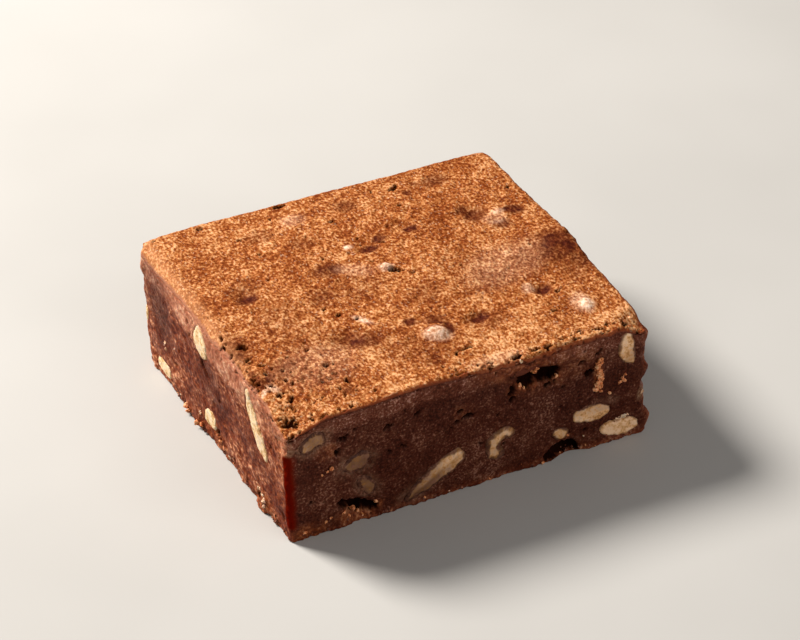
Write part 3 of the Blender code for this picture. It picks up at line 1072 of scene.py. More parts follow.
@dataclass
class Crust:
    """The baked crust: the whole top, turned over the rim to its ragged lower edge."""

    block: Block
    relief: GrainRelief
    finish: CrustFinish = field(default_factory=CrustFinish)
    grain: dict = field(
        default_factory=lambda: {"Grain_Size": 0.7 * MM, "Grain_Height": 0.62 * MM, "Stretch_Back": 1.3}
    )
    skirt_rings: int = 15
    skirt_depth: float = 4.4 * MM
    proud: float = 0.05  # millimetres above the crumb
    tuck: float = 0.45  # millimetres into the crumb below its edge
    # Marks on the crust: x, y, radius, strength, stretch and turn.
    stains: Rows = (
        (9.9, 35.6, 1.4, 1.0, 1.4, 20), (10.4, 38.6, 2.4, 0.3, 1.3, 30), (45.0, 42.8, 1.1, 1.0, 1.3, 10),
        (35.8, 40.3, 1.15, 1.0, 1.5, 15), (2.2, 23.6, 2.6, 0.45, 1.5, 80), (1.2, 13.8, 1.8, 0.5, 1.4, 80),
        (6.5, 15.0, 2.4, 0.3, 1.4, 30), (38.6, 42.4, 1.0, 0.8, 1.3, 0), (26.2, 37.3, 2.0, 0.6, 1.3, 0),
        (37.6, 54.3, 1.9, 0.5, 1.2, 0), (32.1, 17.3, 1.0, 1.0, 1.2, 0), (21.9, 16.3, 1.3, 0.75, 2.0, -22),
        (21.6, 16.6, 2.6, 0.5, 1.8, -22), (23.0, 15.4, 1.6, 0.6, 1.5, -30),
        (21.8, 30.5, 2.0, 0.35, 1.5, 40), (57.9, 42.4, 1.9, 0.75, 1.3, 20), (56.4, 44.6, 1.2, 0.6, 1.3, 20),
        (64.9, 40.6, 1.4, 0.85, 1.4, -30), (60.7, 37.5, 1.3, 0.7, 1.6, -20),
        (57.9, 16.2, 1.3, 0.95, 1.3, 10), (43.8, 13.4, 1.2, 1.0, 1.5, 5), (44.6, 11.8, 2.4, 0.3, 1.3, 0),
        (37.7, 12.9, 0.8, 1.0, 2.2, 85), (36.6, 14.9, 0.8, 0.85, 1.8, 140), (36.2, 16.0, 1.3, 0.6, 1.8, 0),
        (52.7, 56.1, 0.9, 0.6, 1.0, 0), (56.2, 55.6, 1.7, 0.6, 1.5, 10), (50.0, 53.8, 0.8, 0.7, 1.0, 0),
        (3.8, 13.6, 0.9, 0.7, 1.6, 60), (25.8, 47.0, 1.6, 0.35, 1.5, 0), (19.7, 52.3, 1.9, 0.35, 1.5, 0),
        (65.6, 27.8, 2.1, 0.85, 1.5, 50), (67.6, 25.4, 1.5, 0.85, 1.6, 80), (66.2, 26.6, 4.2, 0.6, 1.2, 60),
        (68.0, 21.6, 2.0, 0.55, 1.7, 85), (66.2, 19.6, 3.0, 0.3, 1.3, 80), (63.2, 26.4, 4.4, 0.3, 1.3, 60),
        (38.5, 23.5, 2.6, 0.25, 1.4, 20), (31.0, 5.8, 1.6, 0.3, 1.4, 0), (14.0, 5.0, 1.1, 0.4, 1.2, 0),
        (48.0, 30.0, 3.4, 0.16, 1.5, 30), (12.0, 27.0, 4.4, 0.2, 1.4, 60), (29.0, 30.5, 3.6, 0.2, 1.6, 10),
        (48.6, 22.0, 4.2, 0.14, 1.6, 0), (30.0, 10.4, 4.0, 0.2, 1.8, -10), (14.6, 20.0, 4.6, 0.2, 1.5, -30),
    )
    pale: Rows = (
        (34.8, 11.8, 1.4, 1.0, 1.5, -28), (62.5, 8.8, 1.25, 1.0, 1.5, 75), (62.0, 9.8, 1.7, 0.35, 1.5, 75),
        (61.9, 41.0, 0.9, 0.4, 1.5, 10), (60.4, 39.4, 1.3, 0.2, 1.6, -20), (32.6, 42.3, 0.6, 1.0, 1.4, 0),
        (27.3, 54.4, 1.6, 0.22, 1.4, 0), (25.1, 21.4, 0.6, 0.8, 3.0, -60), (3.0, 11.0, 0.75, 0.6, 1.7, -65),
        (35.8, 33.6, 1.0, 0.85, 1.2, -20), (55.6, 17.5, 1.0, 0.4, 1.5, 60),
        (55.0, 25.8, 4.6, 0.14, 1.7, 25), (58.6, 24.4, 3.0, 0.1, 1.6, 30), (12.0, 13.0, 5.0, 0.12, 1.4, 0),
        (30.4, 35.6, 1.6, 0.15, 2.2, 150), (1.0, 10.6, 0.5, 0.9, 1.8, 20), (41.0, 1.6, 1.6, 0.14, 3.0, 0),
    )
    # Pits and pinholes, darkened with painted shade. The slot at (36.9, 31.9) beside the raised chip is
    # partly a hole and partly the chip's painted shadow.
    pits: Rows = (
        (48.2, 56.2, 0.45, 0.9, 1.5, 20), (49.2, 57.0, 0.3, 0.8, 1.6, 60), (46.8, 50.4, 0.3, 0.8),
        (27.4, 60.0, 0.6, 0.8, 1.8, 10), (17.4, 47.3, 0.3, 0.8), (2.9, 23.8, 0.42, 1.0, 1.6, 30),
        (3.6, 23.3, 0.4, 1.0, 1.6, 100), (0.4, 22.8, 0.4, 0.8), (1.2, 26.0, 0.3, 0.7),
        (1.0, 27.9, 0.4, 0.7, 1.5, 60), (0.6, 14.8, 0.45, 0.9, 1.3, 60), (0.9, 13.2, 0.45, 0.9),
        (5.8, 12.1, 0.35, 0.9), (6.6, 14.6, 0.28, 0.8, 1.6, 40), (7.6, 13.6, 0.25, 0.8),
        (4.6, 7.1, 0.34, 0.9, 2.6, 52), (2.9, 9.0, 0.25, 0.8), (2.1, 2.8, 0.5, 1.0, 1.9, -20),
        (3.0, 3.4, 0.3), (0.9, 0.2, 0.4, 0.9, 1.8, 5), (2.3, 2.9, 0.28, 0.7), (11.2, 8.7, 0.26, 0.6),
        (26.9, 40.8, 0.25, 0.7), (60.0, 14.6, 0.34, 0.8, 1.4, 30), (35.4, 6.0, 0.28, 0.8),
        (36.9, 31.9, 0.5, 1.0, 2.2, -27), (39.7, 1.4, 0.25, 0.9, 2.2, 0), (33.2, 0.8, 0.25, 0.9, 2.4, 0),
        (48.3, 1.3, 0.3, 1.0, 2.6, 10), (50.6, 0.9, 0.25, 1.0, 2.8, -10), (44.6, 0.9, 0.4, 1.0, 2.0, 10),
        (54.0, 1.6, 0.25, 0.9, 3.0, 10), (57.6, 2.4, 0.22, 1.0, 3.4, 14), (61.0, 1.8, 0.25, 0.9, 2.6, -10),
        (66.3, 1.8, 0.4, 1.0, 1.5, 30), (2.6, 59.4, 0.35, 0.7), (11.4, 59.4, 0.35, 0.7, 1.6, 10),
        (67.6, 47.8, 0.3, 0.7, 1.6, 60), (37.3, 6.5, 0.22, 0.8, 7.0, 4),
    )
    # Here the strength is the rise in millimetres.
    bumps: Rows = (
        (35.0, 13.6, 3.4, -0.35), (62.7, 9.4, 3.2, -0.5), (62.4, 41.2, 3.4, -0.55),
        (34.9, 11.9, 1.9, 0.7, 1.4, -26), (62.5, 8.9, 1.6, 0.5, 1.5, 75), (61.9, 41.0, 1.3, 0.15, 1.4, 10),
        (32.6, 42.3, 0.8, 0.25, 1.2, 0), (60.6, 15.2, 0.7, 0.3, 1.0, 0), (2.4, 12.2, 3.0, -0.35),
        (69.0, 30.0, 1.2, 0.45, 1.4, 80), (36.1, 33.5, 1.3, 0.55, 1.2, -20),
        (35.6, 34.0, 0.7, 0.3, 1.5, 60),
    )

    def build(self) -> Item:
        """Makes the crust.

        Returns:
            The closed crust, at the origin.
        """
        block, f = self.block, self.block.form
        grid_x, grid_y = (g.ravel() for g in np.meshgrid(block.xs, block.ys))
        rings, count = self.skirt_rings, block.count
        down = self.skirt_depth * (np.arange(1, rings + 1) / rings)
        x = np.concatenate([grid_x, np.tile(block.rim_x, rings)])
        y = np.concatenate([grid_y, np.tile(block.rim_y, rings)])
        z = np.concatenate([np.full(len(grid_x), f.height), f.height - np.repeat(down, count)])
        points = np.vstack([block.points(x, y, z), [(0, 0, f.height - 3 * MM)]])
        crust = self.net(len(grid_x)).to_object("crust", points)
        self.shape(crust, x, y, down)
        look = self.finish.material()
        return self.relief.apply(crust, Finish=look, **self.grain)

    def net(self, top_count: int) -> Net:
        """The crust's faces and their flat map, with the turned-over edge spread out round the top.

        Args:
            top_count: How many points the top has.

        Returns:
            The net.
        """
        block, net, f, rings = self.block, Net(), self.block.form, self.skirt_rings
        nx, ny, count, after = block.cells_x, block.cells_y, block.count, block.after
        margin = self.skirt_depth + MM
        page = max(f.width, f.depth) + 2 * margin + MM

        def flat(x: Array, y: Array) -> Array:
            """A place on the flat map for a place on the spread-out crust."""
            return (np.stack([x + f.width / 2, y + f.depth / 2], axis=-1) + margin) / page

        j, i = (g.ravel() for g in np.meshgrid(np.arange(ny), np.arange(nx), indexing="ij"))
        low = j * (nx + 1) + i
        corners = [low, low + 1, low + nx + 2, low + nx + 1]
        place = flat(np.tile(block.xs, ny + 1), np.repeat(block.ys, nx + 1))
        net.add(corners, [place[c] for c in corners])
        loops = [block.rim_j * (nx + 1) + block.rim_i]
        loops += [top_count + r * count + np.arange(count) for r in range(rings)]
        out_x = np.select([block.rim_i == 0, block.rim_i == nx], [-1, 1], 0) * self.skirt_depth / rings
        out_y = np.select([block.rim_j == 0, block.rim_j == ny], [-1, 1], 0) * self.skirt_depth / rings
        spread = [flat(block.rim_x + out_x * r, block.rim_y + out_y * r) for r in range(rings + 1)]
        for upper, lower, above, below in zip(loops, loops[1:], spread, spread[1:]):
            net.add([lower, lower[after], upper[after], upper], [below, below[after], above[after], above])
        last, middle = loops[-1], np.full(count, top_count + rings * count)
        small = spread[-1] * 0.05 + np.array([0.02, 0.94])
        fan = np.broadcast_to(small.mean(0), small.shape)
        net.add([last[after], last, middle], [small[after], small, fan])
        return net

    def above_edge(self, place_x: Array, place_y: Array, down: Array) -> Array:
        """How far each point is above the ragged lower edge, counted over the rim.

        Args:
            place_x: Millimetres along the front, first for the top and then for each ring.
            place_y: Millimetres along the left side.
            down: How far below the top each ring is.

        Returns:
            The distance in millimetres for each point.
        """
        block, f = self.block, self.block.form
        top = slice(0, len(block.xs) * len(block.ys))
        edge_x = np.minimum(place_x, f.width / MM - place_x)
        edge_y = np.minimum(place_y, f.depth / MM - place_y)
        sunk = np.concatenate([-np.minimum(edge_x, edge_y)[top], np.repeat(down / MM, block.count)])
        line = block.crust_line()
        nearest = block.nearest_rim(place_x[top], place_y[top])
        return np.concatenate([line[nearest], np.tile(line, len(down))]) - sunk

    def porosity(self, place_x: Array, place_y: Array) -> tuple[Array, Array]:
        """Where the crust is porous: along the front edge, at the near corner and along the left edge.

        Args:
            place_x: Millimetres along the front.
            place_y: Millimetres along the left side.

        Returns:
            How near each point is to the front edge, and how porous it is.
        """
        front_rim = ease((place_x - 28) / 8) * ease((3.4 - place_y) / 1.4)
        near_corner = ease((19 - np.hypot(place_x, place_y * 0.75)) / 9)
        left_rim = ease((4.2 - place_x) / 2) * ease((27 - place_y) / 5)
        return front_rim, np.clip(front_rim + 0.75 * near_corner + 0.9 * left_rim, 0, 1)

    def shape(self, crust: Item, x: Array, y: Array, down: Array) -> None:
        """Raises and sinks the surface, and tells the finish what is where.

        Args:
            crust: The crust.
            x: Plain places of its points along X, without the closing point.
            y: The same along Y.
            down: How far below the top each ring is.
        """
        f = self.block.form
        points, normals = read_points(crust.data), read_normals(crust.data)
        body = points[:-1]
        place_x, place_y = (x + f.width / 2) / MM, (y + f.depth / 2) / MM
        wander, ripple, sieve = Ripple(3), Ripple(8), Ripple(9)
        warp_x = place_x + 0.55 * wander.layers(body, 1.6, 4, 0.7)
        warp_y = place_y + 0.55 * wander.layers(body + 0.02, 1.6, 4, 0.7)
        above = self.above_edge(place_x, place_y, down)

        stain, pale = (spots(warp_x, warp_y, rows, 0.55) for rows in (self.stains, self.pale))
        lift = 0.10 * ripple.layers(body, 5) + 0.09 * ripple.layers(body, 1.7) - 0.14 * stain
        for row in self.bumps:
            mark = Mark(*row)
            lift += mark.strength * bell(mark.reach(place_x, place_y), 1.0)
        # Pinholes everywhere, and more of them by the near corner.
        thrown = scattered(5, 60, (0, 0), (70, 61), (0.14, 0.3))
        thrown += scattered(6, 50, (0, 0), (16, 20), (0.14, 0.34))
        depth = holes(warp_x, warp_y, self.pits + thrown, 1.1)
        front_rim, porous = self.porosity(place_x, place_y)
        porous = porous * ease((above - 0.1) / 0.5) * (1 - np.clip(3 * pale, 0, 1))
        crack = sieve.layers(body * np.array([0.62, 1, 1]), 0.8, 3, 0.7) - 0.36 + 0.16 * porous
        depth = np.maximum(depth, 0.85 * porous * ease((crack + 0.05 * front_rim) / 0.18))
        lift += 0.16 * porous * sieve.layers(body + 0.01, 1.3, 3, 0.7)
        # Below its ragged edge, the crust tucks into the crumb.
        shown = ease(above / 0.35)
        lift = (lift - depth) * ease((above + 0.1) / 0.6) + self.proud * shown - self.tuck * (1 - shown)
        points[:-1] += normals[:-1] * (lift * MM)[:, None]
        write_points(crust.data, points)

        left = ease((3.4 - place_x) / 3.0) * ease((place_y - 12) / 10)
        coarse = ease((24 - np.hypot(place_x * 1.1, place_y)) / 12)
        rough = (1 - 0.6 * left + 0.9 * coarse - 0.5 * ease((place_y - 53) / 6)) * ease(above / 0.7)
        tone = 0.035 * ease((14 - place_y) / 12) + 0.06 * bell(np.hypot(place_x - 42, place_y - 5), 10)
        values = {
            "rough": rough * (1 - 0.6 * pale),
            "smooth": np.clip(left * 0.6 + 0.25 * left * ripple.at(body, 2), 0, 1),
            "left": ease((2.6 - place_x) / 2.2) * ease((above + 1) / 0.5),
            "stain": np.clip(stain * (1.15 + 0.4 * ripple.at(body, 1.1)), 0, 1),
            "pale": pale,
            "tone": tone + 0.03 * ripple.layers(body, 9, 2),
            "edge": 1 - ease(above / (1.9 + 0.4 * front_rim + 0.9 * ripple.layers(body, 1.5, 3))),
            # where shade is painted into the pits and pinholes
            "pit_shade": ease((depth - 0.12) / 0.24) * 0.985,
        }
        for name, value in values.items():
            store(crust, name, np.append(value, 0))


@dataclass(frozen=True)
class Cut:
    """How one walnut piece is cut, and how much fudge it is filmed over with."""

    thicker: float = 0.0  # millimetres added round a thin piece
    film: float = 0.0
    fade: tuple[float, float, float] = (0.0, 0.0, 0.0)  # the film grows to the right, upwards, by how much
    slope: float = 0.0  # how much the film grows towards the lower right


@dataclass
class WalnutPieces:
    """The chopped walnut pieces in the sides, one for each CAD solid."""

    finish: WalnutFinish = field(default_factory=WalnutFinish)
    voxel: float = 0.16 * MM
    # The pieces that differ from a plain cut.
    cuts: dict[str, Cut] = field(
        default_factory=lambda: {
            "front_1": Cut(0.12, -0.15, (0.3, -1.0, 0.42)),
            "front_2": Cut(0.0, 0.0, (0.0, 0.8, 0.2)),
            "front_3": Cut(0.0, -0.42, (0.9, 0.3, 0.3)),
            "front_4": Cut(0.0, 0.17),
            "front_5": Cut(0.56, 0.11, (-0.6, -0.6, 0.15)),
            "front_6": Cut(0.22, -0.03, (-1.2, 0.0, 0.48), 0.2),
            "front_7": Cut(0.25, 0.41),
            "front_8": Cut(0.25, 0.53),
            "front_9": Cut(0.25, 0.53),
            "left_1": Cut(0.1),
            "left_5": Cut(0.34),
        }
    )

    def __post_init__(self) -> None:
        """Merges a copy of each CAD solid."""
        self.names = sorted(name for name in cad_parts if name.startswith("walnut_"))
        self.meshes: dict[str, Mesh] = {}
        self.trees: dict[str, BVHTree] = {}
        self.pieces: list[Item] = []
        for name in self.names:
            solid = bmesh.new()
            solid.from_mesh(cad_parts[name].data)
            bmesh.ops.remove_doubles(solid, verts=solid.verts, dist=1e-6)
            self.meshes[name] = bpy.data.meshes.new(f"{name}_solid")
            solid.to_mesh(self.meshes[name])
            solid.free()

    def cover(self, places: Array, normals: Array) -> Array:
        """Finds where the walnut pieces lie in the sides.

        Args:
            places: Points of the crumb's surface.
            normals: The directions that they face.

        Returns:
            1 where a walnut piece is, and 0 elsewhere.
        """
        covered = np.zeros(len(places))
        margin, rise, reach = 1.2, 1.5, 2.6  # millimetres round a piece, out of the side, and along the ray
        for name in self.names:
            low, high = (np.array(corner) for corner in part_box(name))
            near = np.all((places > low - margin * MM) & (places < high + margin * MM), axis=1)
            for index in np.flatnonzero(near):
                facing = Vector(normals[index])
                start = Vector(places[index]) + facing * rise * MM
                hit = self.trees[name].ray_cast(start, -facing, reach * MM)
                covered[index] = max(covered[index], hit[0] is not None)
        return covered

    def build(self) -> list[Item]:
        """Makes every walnut piece.

        Returns:
            The pieces, each named after its CAD node.
        """
        material = self.finish.material()
        for number, name in enumerate(self.names):
            piece = link(f"{name}_cut", self.meshes[name])
            remesh = piece.modifiers.new("even", "REMESH")
            remesh.mode, remesh.voxel_size = "VOXEL", self.voxel
            relax = piece.modifiers.new("relax", "SMOOTH")
            relax.iterations = 4
            plain_mesh(piece).data.shade_smooth()
            self.carve(piece, name, number)
            piece.data.materials.clear()
            piece.data.materials.append(material)
            faces = [tuple(face.vertices) for face in piece.data.polygons]
            self.trees[name] = BVHTree.FromPolygons(read_points(piece.data).tolist(), faces)
            self.pieces.append(piece)
        return self.pieces

    def inward(self, points: Array, cut: Array) -> Array:
        """How far each point lies inside the rim of a piece's cut face.

        Args:
            points: The piece's points.
            cut: Whether each one is on the cut face.

        Returns:
            Millimetres for each point, and 0 off the cut face.
        """
        rim = np.flatnonzero(~cut)
        tree = KDTree(len(rim))
        for index in rim:
            tree.insert(points[index], int(index))
        tree.balance()
        return np.array([tree.find(point)[2] for point in points]) / MM * cut

    def carve(self, piece: Item, name: str, number: int) -> None:
        """Gives a piece its chopped, slightly uneven face, and its film and skin.

        Args:
            piece: The walnut piece.
            name: Its CAD node.
            number: Its place in the list, which picks its pattern.
        """
        side = Side[name.split("_")[1].upper()]
        front = side is Side.FRONT
        cut = self.cuts.get(name.removeprefix("walnut_"), Cut())
        points, normals = read_points(piece.data), read_normals(piece.data)
        facing = normals @ np.array(side.outward)
        inward = self.inward(points, facing >= 0.55)
        ripple = Ripple(60 + number)
        blotch = ripple.layers(points, 1.2, 3)
        # The face is uneven and a little proud, and its rim is worn down.
        lift = 0.11 * ripple.layers(points, 1.5) + 0.05 * ripple.layers(points, 0.5, 2)
        lift += 0.09 - 0.06 * (1 - ease(inward / 0.5)) * (facing > 0.5)
        lift += cut.thicker * (1 - np.clip(facing, 0, 1) ** 2)
        points += normals * (lift * MM)[:, None]
        bend = 0.75 if front else 0.3  # how far the outline wanders, in millimetres
        points[:, 0 if side.runs_along_x else 1] += bend * MM * ripple.layers(points + 0.01, 2.6, 3)
        points[:, 2] += bend * MM * ripple.layers(points + 0.02, 2.2, 3)
        write_points(piece.data, points)

        wide = 0.34 if front else 0.2  # of the filmed rim, in millimetres
        film = cut.film + (0.05 + 0.45 * front) * (1 - ease((inward - 0.05 - wide * blotch) / wide))
        low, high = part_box(name)
        along, up = ((points[:, k] - low[k]) / (high[k] - low[k]) for k in (0, 2))
        right, rise, much = cut.fade
        film += much * ease(0.5 + right * (along - 0.5) + rise * (up - 0.5))
        film += cut.slope * ease((along - up) * (high.z - low.z) / MM + 0.3)
        store(piece, "film", np.clip(film, -0.5, 1.2))
        # How much of the painted shade tint each piece takes: all on the shaded front side, half on the
        # shaded right side.
        store(piece, "tan", np.full(len(points), {Side.FRONT: 1.0, Side.RIGHT: 0.5}.get(side, 0.0)))
        skin = (0.25 + 0.3 * front) * (1 - ease((inward - 0.05) / (0.25 + 0.15 * front)))
        skin *= ease(2.5 - 5 * film)
        store(piece, "skin", np.clip(skin + 0.15 * blotch, 0, 1))


@dataclass
class CrumbBody:
    """The fudge crumb under the crust: its four cut sides and its underside."""

    block: Block
    relief: GrainRelief
    finish: CrumbFinish = field(default_factory=CrumbFinish)
    grain: dict = field(
        default_factory=lambda: {"Grain_Size": 0.8 * MM, "Grain_Height": 0.8 * MM, "Stretch_Back": 1.35}
    )
    rings: int = 86
    recess: float = 0.45  # millimetres that the crumb gives way behind a walnut piece
    foot_insets: tuple = (0.3, 0.8, 1.8, 3.6, 7.0, 12.0, 18.0, 24.0)
    # Of the front, right, back and left side: how dry it is, and how far down its paler band reaches.
    dryness: tuple = (0.065, 0.4, 0.5, 1.0)
    band_depth: tuple = (4.4, 4.6, 5.0, 7.0)
    # Marks on each side: along, up, radius, strength, stretch and turn. The pits are darkened inside with
    # painted shade.
    pits: dict = field(
        default_factory=lambda: {
            Side.FRONT: (
                (46.2, 20.4, 1.5, 1.0, 1.1, 10), (45.3, 21.4, 0.9), (47.5, 21.8, 0.6),
                (50.0, 20.1, 1.2, 1.0, 1.4, 10), (51.4, 20.8, 0.6), (48.2, 21.3, 0.5, 1.0, 1.6, 0),
                (43.4, 21.9, 0.42, 0.9, 1.2, 30), (43.1, 19.2, 0.42, 0.9, 1.9, 60),
                (42.6, 18.2, 0.4, 0.9, 1.5, 40), (42.7, 16.9, 0.42, 0.8, 1.2, 10),
                (46.9, 23.8, 0.36, 0.9, 2.6, 25), (58.3, 17.4, 0.62, 1.0, 1.4, 10), (57.6, 17.2, 0.4),
                (60.1, 21.5, 0.4, 0.9, 1.6, 40), (56.7, 20.2, 0.36, 0.9, 1.4, 40), (39.9, 23.4, 0.28, 0.7),
                (49.9, 17.6, 0.4, 0.7, 1.4, 20), (51.2, 18.2, 0.3, 0.7), (10.5, 19.5, 0.5, 1.0, 1.4, 10),
                (11.2, 19.7, 0.35), (9.4, 16.9, 0.52, 1.0, 1.3, 60), (19.0, 19.1, 0.48, 1.0, 1.5, 20),
                (12.8, 20.9, 0.28, 0.6, 1.5, 0), (24.6, 19.8, 0.42, 0.8, 1.2, 60),
                (32.7, 17.7, 0.4, 1.0, 1.5, 0), (32.0, 15.6, 0.36, 1.0, 1.6, 20),
                (34.2, 16.0, 0.42, 1.0, 2.2, 10), (4.3, 7.6, 0.3, 0.7, 1.7, 0),
                (11.0, 4.9, 0.9, 1.0, 1.9, -20), (13.0, 3.4, 1.05, 1.0, 1.5, -25), (12.0, 4.2, 0.5),
                (15.0, 2.6, 0.9, 1.0, 1.5, -10), (50.4, 1.6, 0.8, 1.0, 1.7, 35),
                (52.0, 2.5, 0.9, 1.0, 1.8, 15), (52.6, 3.6, 0.4), (53.9, 2.1, 1.1, 1.0, 1.4, -10),
                (55.1, 1.0, 0.8, 1.0, 1.4, -60), (52.6, 0.9, 0.7, 1.0, 1.5, 0),
                (51.2, 0.5, 0.6, 1.0, 1.5, 0), (54.1, 0.5, 0.6), (0.3, 24.0, 0.6, 0.8, 1.3, 0),
                (30.6, 9.5, 0.26, 0.5), (36.8, 8.9, 0.3, 0.6, 1.6, 0), (64.6, 16.0, 0.3, 0.6),
                (57.0, 5.0, 0.3, 0.6),
            ),
            Side.LEFT: (
                (34.0, 15.0, 0.42, 1.0, 3.6, 40), (29.8, 3.4, 0.62, 1.0, 2.0, 25),
                (31.0, 4.2, 0.4, 1.0, 1.2, 0), (28.6, 2.4, 0.4), (12.2, 1.8, 0.6, 1.0, 1.2, 20),
                (2.9, 4.1, 0.3, 0.9, 1.8, 80), (6.4, 16.6, 0.28, 0.8, 2.2, 80), (47.0, 19.0, 0.28, 0.7),
                (52.9, 21.2, 0.3, 0.7), (20.4, 19.0, 0.25, 0.6), (4.0, 20.4, 0.3, 0.8),
                (2.4, 21.8, 0.3, 0.8), (6.4, 21.0, 0.25, 0.8),
            ),
            Side.RIGHT: (
                (12.0, 18.5, 1.1, 1.0, 1.5, 10), (14.6, 17.3, 0.6, 0.9, 1.4, 0),
                (41.0, 12.4, 0.5, 0.9, 1.4, 30), (55.0, 19.6, 0.7, 0.9, 1.3, 20),
                (44.0, 2.6, 0.8, 1.0, 1.9, 10), (26.0, 6.4, 0.4, 0.8, 1.5, 60),
            ),
            Side.BACK: (
                (50.6, 18.2, 1.2, 1.0, 1.3, 15), (53.2, 17.0, 0.7, 0.9, 1.3, 40),
                (22.2, 2.2, 0.9, 1.0, 1.8, -10), (34.0, 13.4, 0.5, 0.9, 1.5, 30),
                (12.4, 20.0, 0.5, 0.8, 1.3, 0), (63.0, 7.8, 0.4, 0.8, 1.7, 20),
            ),
        }
    )
    # Where the front is smeared with ground nut and fudge. The strong mark at (68.9, 9.2) is a painted
    # highlight on a broken facet near the right edge.
    films: Rows = (
        (4.9, 21.0, 2.6, 0.45, 1.3, 20), (12.8, 13.2, 2.4, 0.35, 1.5, 14), (14.7, 7.8, 2.0, 0.35, 1.4, -55),
        (24.4, 3.4, 2.0, 0.3, 2.2, 33), (0.5, 20.4, 0.8, 0.9, 1.4, 0), (68.9, 9.2, 0.75, 1.0, 1.9, 75),
        (61.5, 9.6, 1.2, 0.2, 2.0, 0),
    )
    broken: dict = field(
        default_factory=lambda: {
            Side.FRONT: (
                (48.2, 20.0, 3.2, 0.2, 1.3, 0), (46.0, 18.9, 1.1, 0.8, 2.0, -20), (44.4, 19.8, 0.7, 0.9),
                (51.8, 19.0, 0.8, 0.7), (43.2, 18.6, 1.3, 0.45, 1.0, 60), (13.4, 0.8, 1.5, 0.5, 1.6, 0),
                (16.6, 2.6, 1.0, 0.6, 1.0, 0), (10.6, 2.4, 1.4, 0.45, 1.4, 0),
                (53.4, 1.2, 3.0, 0.15, 1.2, 0), (7.4, 17.6, 1.4, 0.3, 1.4, 0),
                (33.3, 17.2, 1.6, 0.15, 1.2, 0), (52.0, 21.4, 4.0, 0.22, 1.8, 0),
                (60.1, 16.2, 0.8, 0.8, 4.2, 90), (3.0, 1.2, 1.8, 0.5, 2.0, 0),
                (45.0, 24.0, 3.0, 0.5, 2.6, 0),
            ),
            Side.LEFT: (
                (30.0, 2.6, 2.6, 0.55, 1.5, 0), (11.0, 1.2, 2.6, 0.5, 1.6, 0),
                (5.0, 21.6, 4.0, 0.55, 1.6, 0), (2.6, 16.6, 2.0, 0.35, 2.2, 80),
            ),
            Side.RIGHT: ((13.0, 17.6, 2.6, 0.7), (44.0, 2.2, 3.0, 0.7, 1.4, 0)),
            Side.BACK: ((51.4, 17.8, 2.6, 0.7), (22.0, 2.0, 2.8, 0.7, 1.4, 0)),
        }
    )
    # Damp places in the left side, and one in the front: along, up, reach and strength.
    damp_zones: Rows = (
        (54.0, 16.0, 4.6, 0.75, 1.7, 75), (31.0, 13.0, 4.0, 0.5, 1.7, 20), (14.0, 11.0, 3.0, 0.35, 2.4, 20),
        (39.4, 4.8, 2.6, 0.35, 1.6, 0),
    )
    front_damp: tuple = (54, 13, 12, 0.06)
    side_lengths: tuple = (70, 61.2)  # the front side's and the left side's, in millimetres
    wander: Ripple = field(default_factory=lambda: Ripple(21))
    ripple: Ripple = field(default_factory=lambda: Ripple(22))
    sieve: Ripple = field(default_factory=lambda: Ripple(23))

    def build(self, walnuts: WalnutPieces) -> Item:
        """Makes the crumb body.

        Args:
            walnuts: The walnut pieces that the crumb makes room for.

        Returns:
            The closed body, at the origin.
        """
        block, f = self.block, self.block.form
        count, rings = block.count, self.rings
        levels = f.height * np.linspace(0, 0.992, rings)
        heights = np.repeat(levels, count)
        sides = block.points(np.tile(block.rim_x, rings), np.tile(block.rim_y, rings), heights)
        feet = [self.foot_ring(inset) for inset in self.foot_insets]
        lining = block.points(block.rim_x * 0.9, block.rim_y * 0.9, np.full(count, f.height - 4 * MM))
        ends = np.array([(0, 0, 0.1 * MM), (0, 0, f.height - 4 * MM)])
        body = self.net().to_object("crumb", np.vstack([sides, *feet, lining, ends]))
        self.shape(body, levels, walnuts)
        look = self.finish.material()
        return self.relief.apply(body, Finish=look, **self.grain)

    def foot_ring(self, inset: float) -> Array:
        """A ring of the underside.

        Args:
            inset: Millimetres in from the rim.

        Returns:
            Its points.
        """
        block, f = self.block, self.block.form
        x = block.rim_x * (1 - inset * MM / (f.width / 2))
        y = block.rim_y * (1 - inset * MM / (f.depth / 2))
        ring = block.points(x, y, np.zeros(block.count))
        hollow = Ripple(12).layers(ring, 3)
        ring[:, 2] = 0.12 * MM * np.clip(hollow + 0.35, 0, 1) * (inset > 0.5)
        return ring

    def net(self) -> Net:
        """The body's faces and their flat map: the sides as four strips, and the underside beside them."""
        block, net, f = self.block, Net(), self.block.form
        count, rings, after = block.count, self.rings, block.after
        page = 4 * f.height + 6 * MM
        steps = np.where(block.rim_side % 2 == 0, f.width / block.cells_x, f.depth / block.cells_y)
        starts = np.searchsorted(block.rim_side, block.rim_side)
        left = (MM + (np.arange(count) - starts) * steps) / page
        right = left + steps / page
        base = (MM + block.rim_side * (f.height + MM)) / page
        for r in range(rings - 1):
            low = r * count + np.arange(count)
            v0, v1 = (base + f.height * (r + k) / rings / page for k in (0, 1))
            pairs = ((left, v0), (right, v0), (right, v1), (left, v1))
            corners = [low, low[after], low[after] + count, low + count]
            net.add(corners, [np.stack(pair, axis=-1) for pair in pairs])
        room = 1 - (f.width + 3 * MM) / page
        scale = room / (f.width + 2 * MM)

        def flat(size: float, corner: tuple[float, float]) -> Array:
            """The rim drawn small at a corner of the flat map."""
            ring = np.stack([block.rim_x * size + f.width / 2, block.rim_y * size + f.depth / 2], axis=-1)
            return ring * scale + np.array(corner)

        def close(ring: Array, middle: int, small: Array, corner: tuple[float, float]) -> None:
            """Closes a ring with a fan round its middle."""
            fan = np.broadcast_to(flat(0.0, corner)[0], small.shape)
            net.add([ring[after], ring, np.full(count, middle)], [small[after], small, fan])

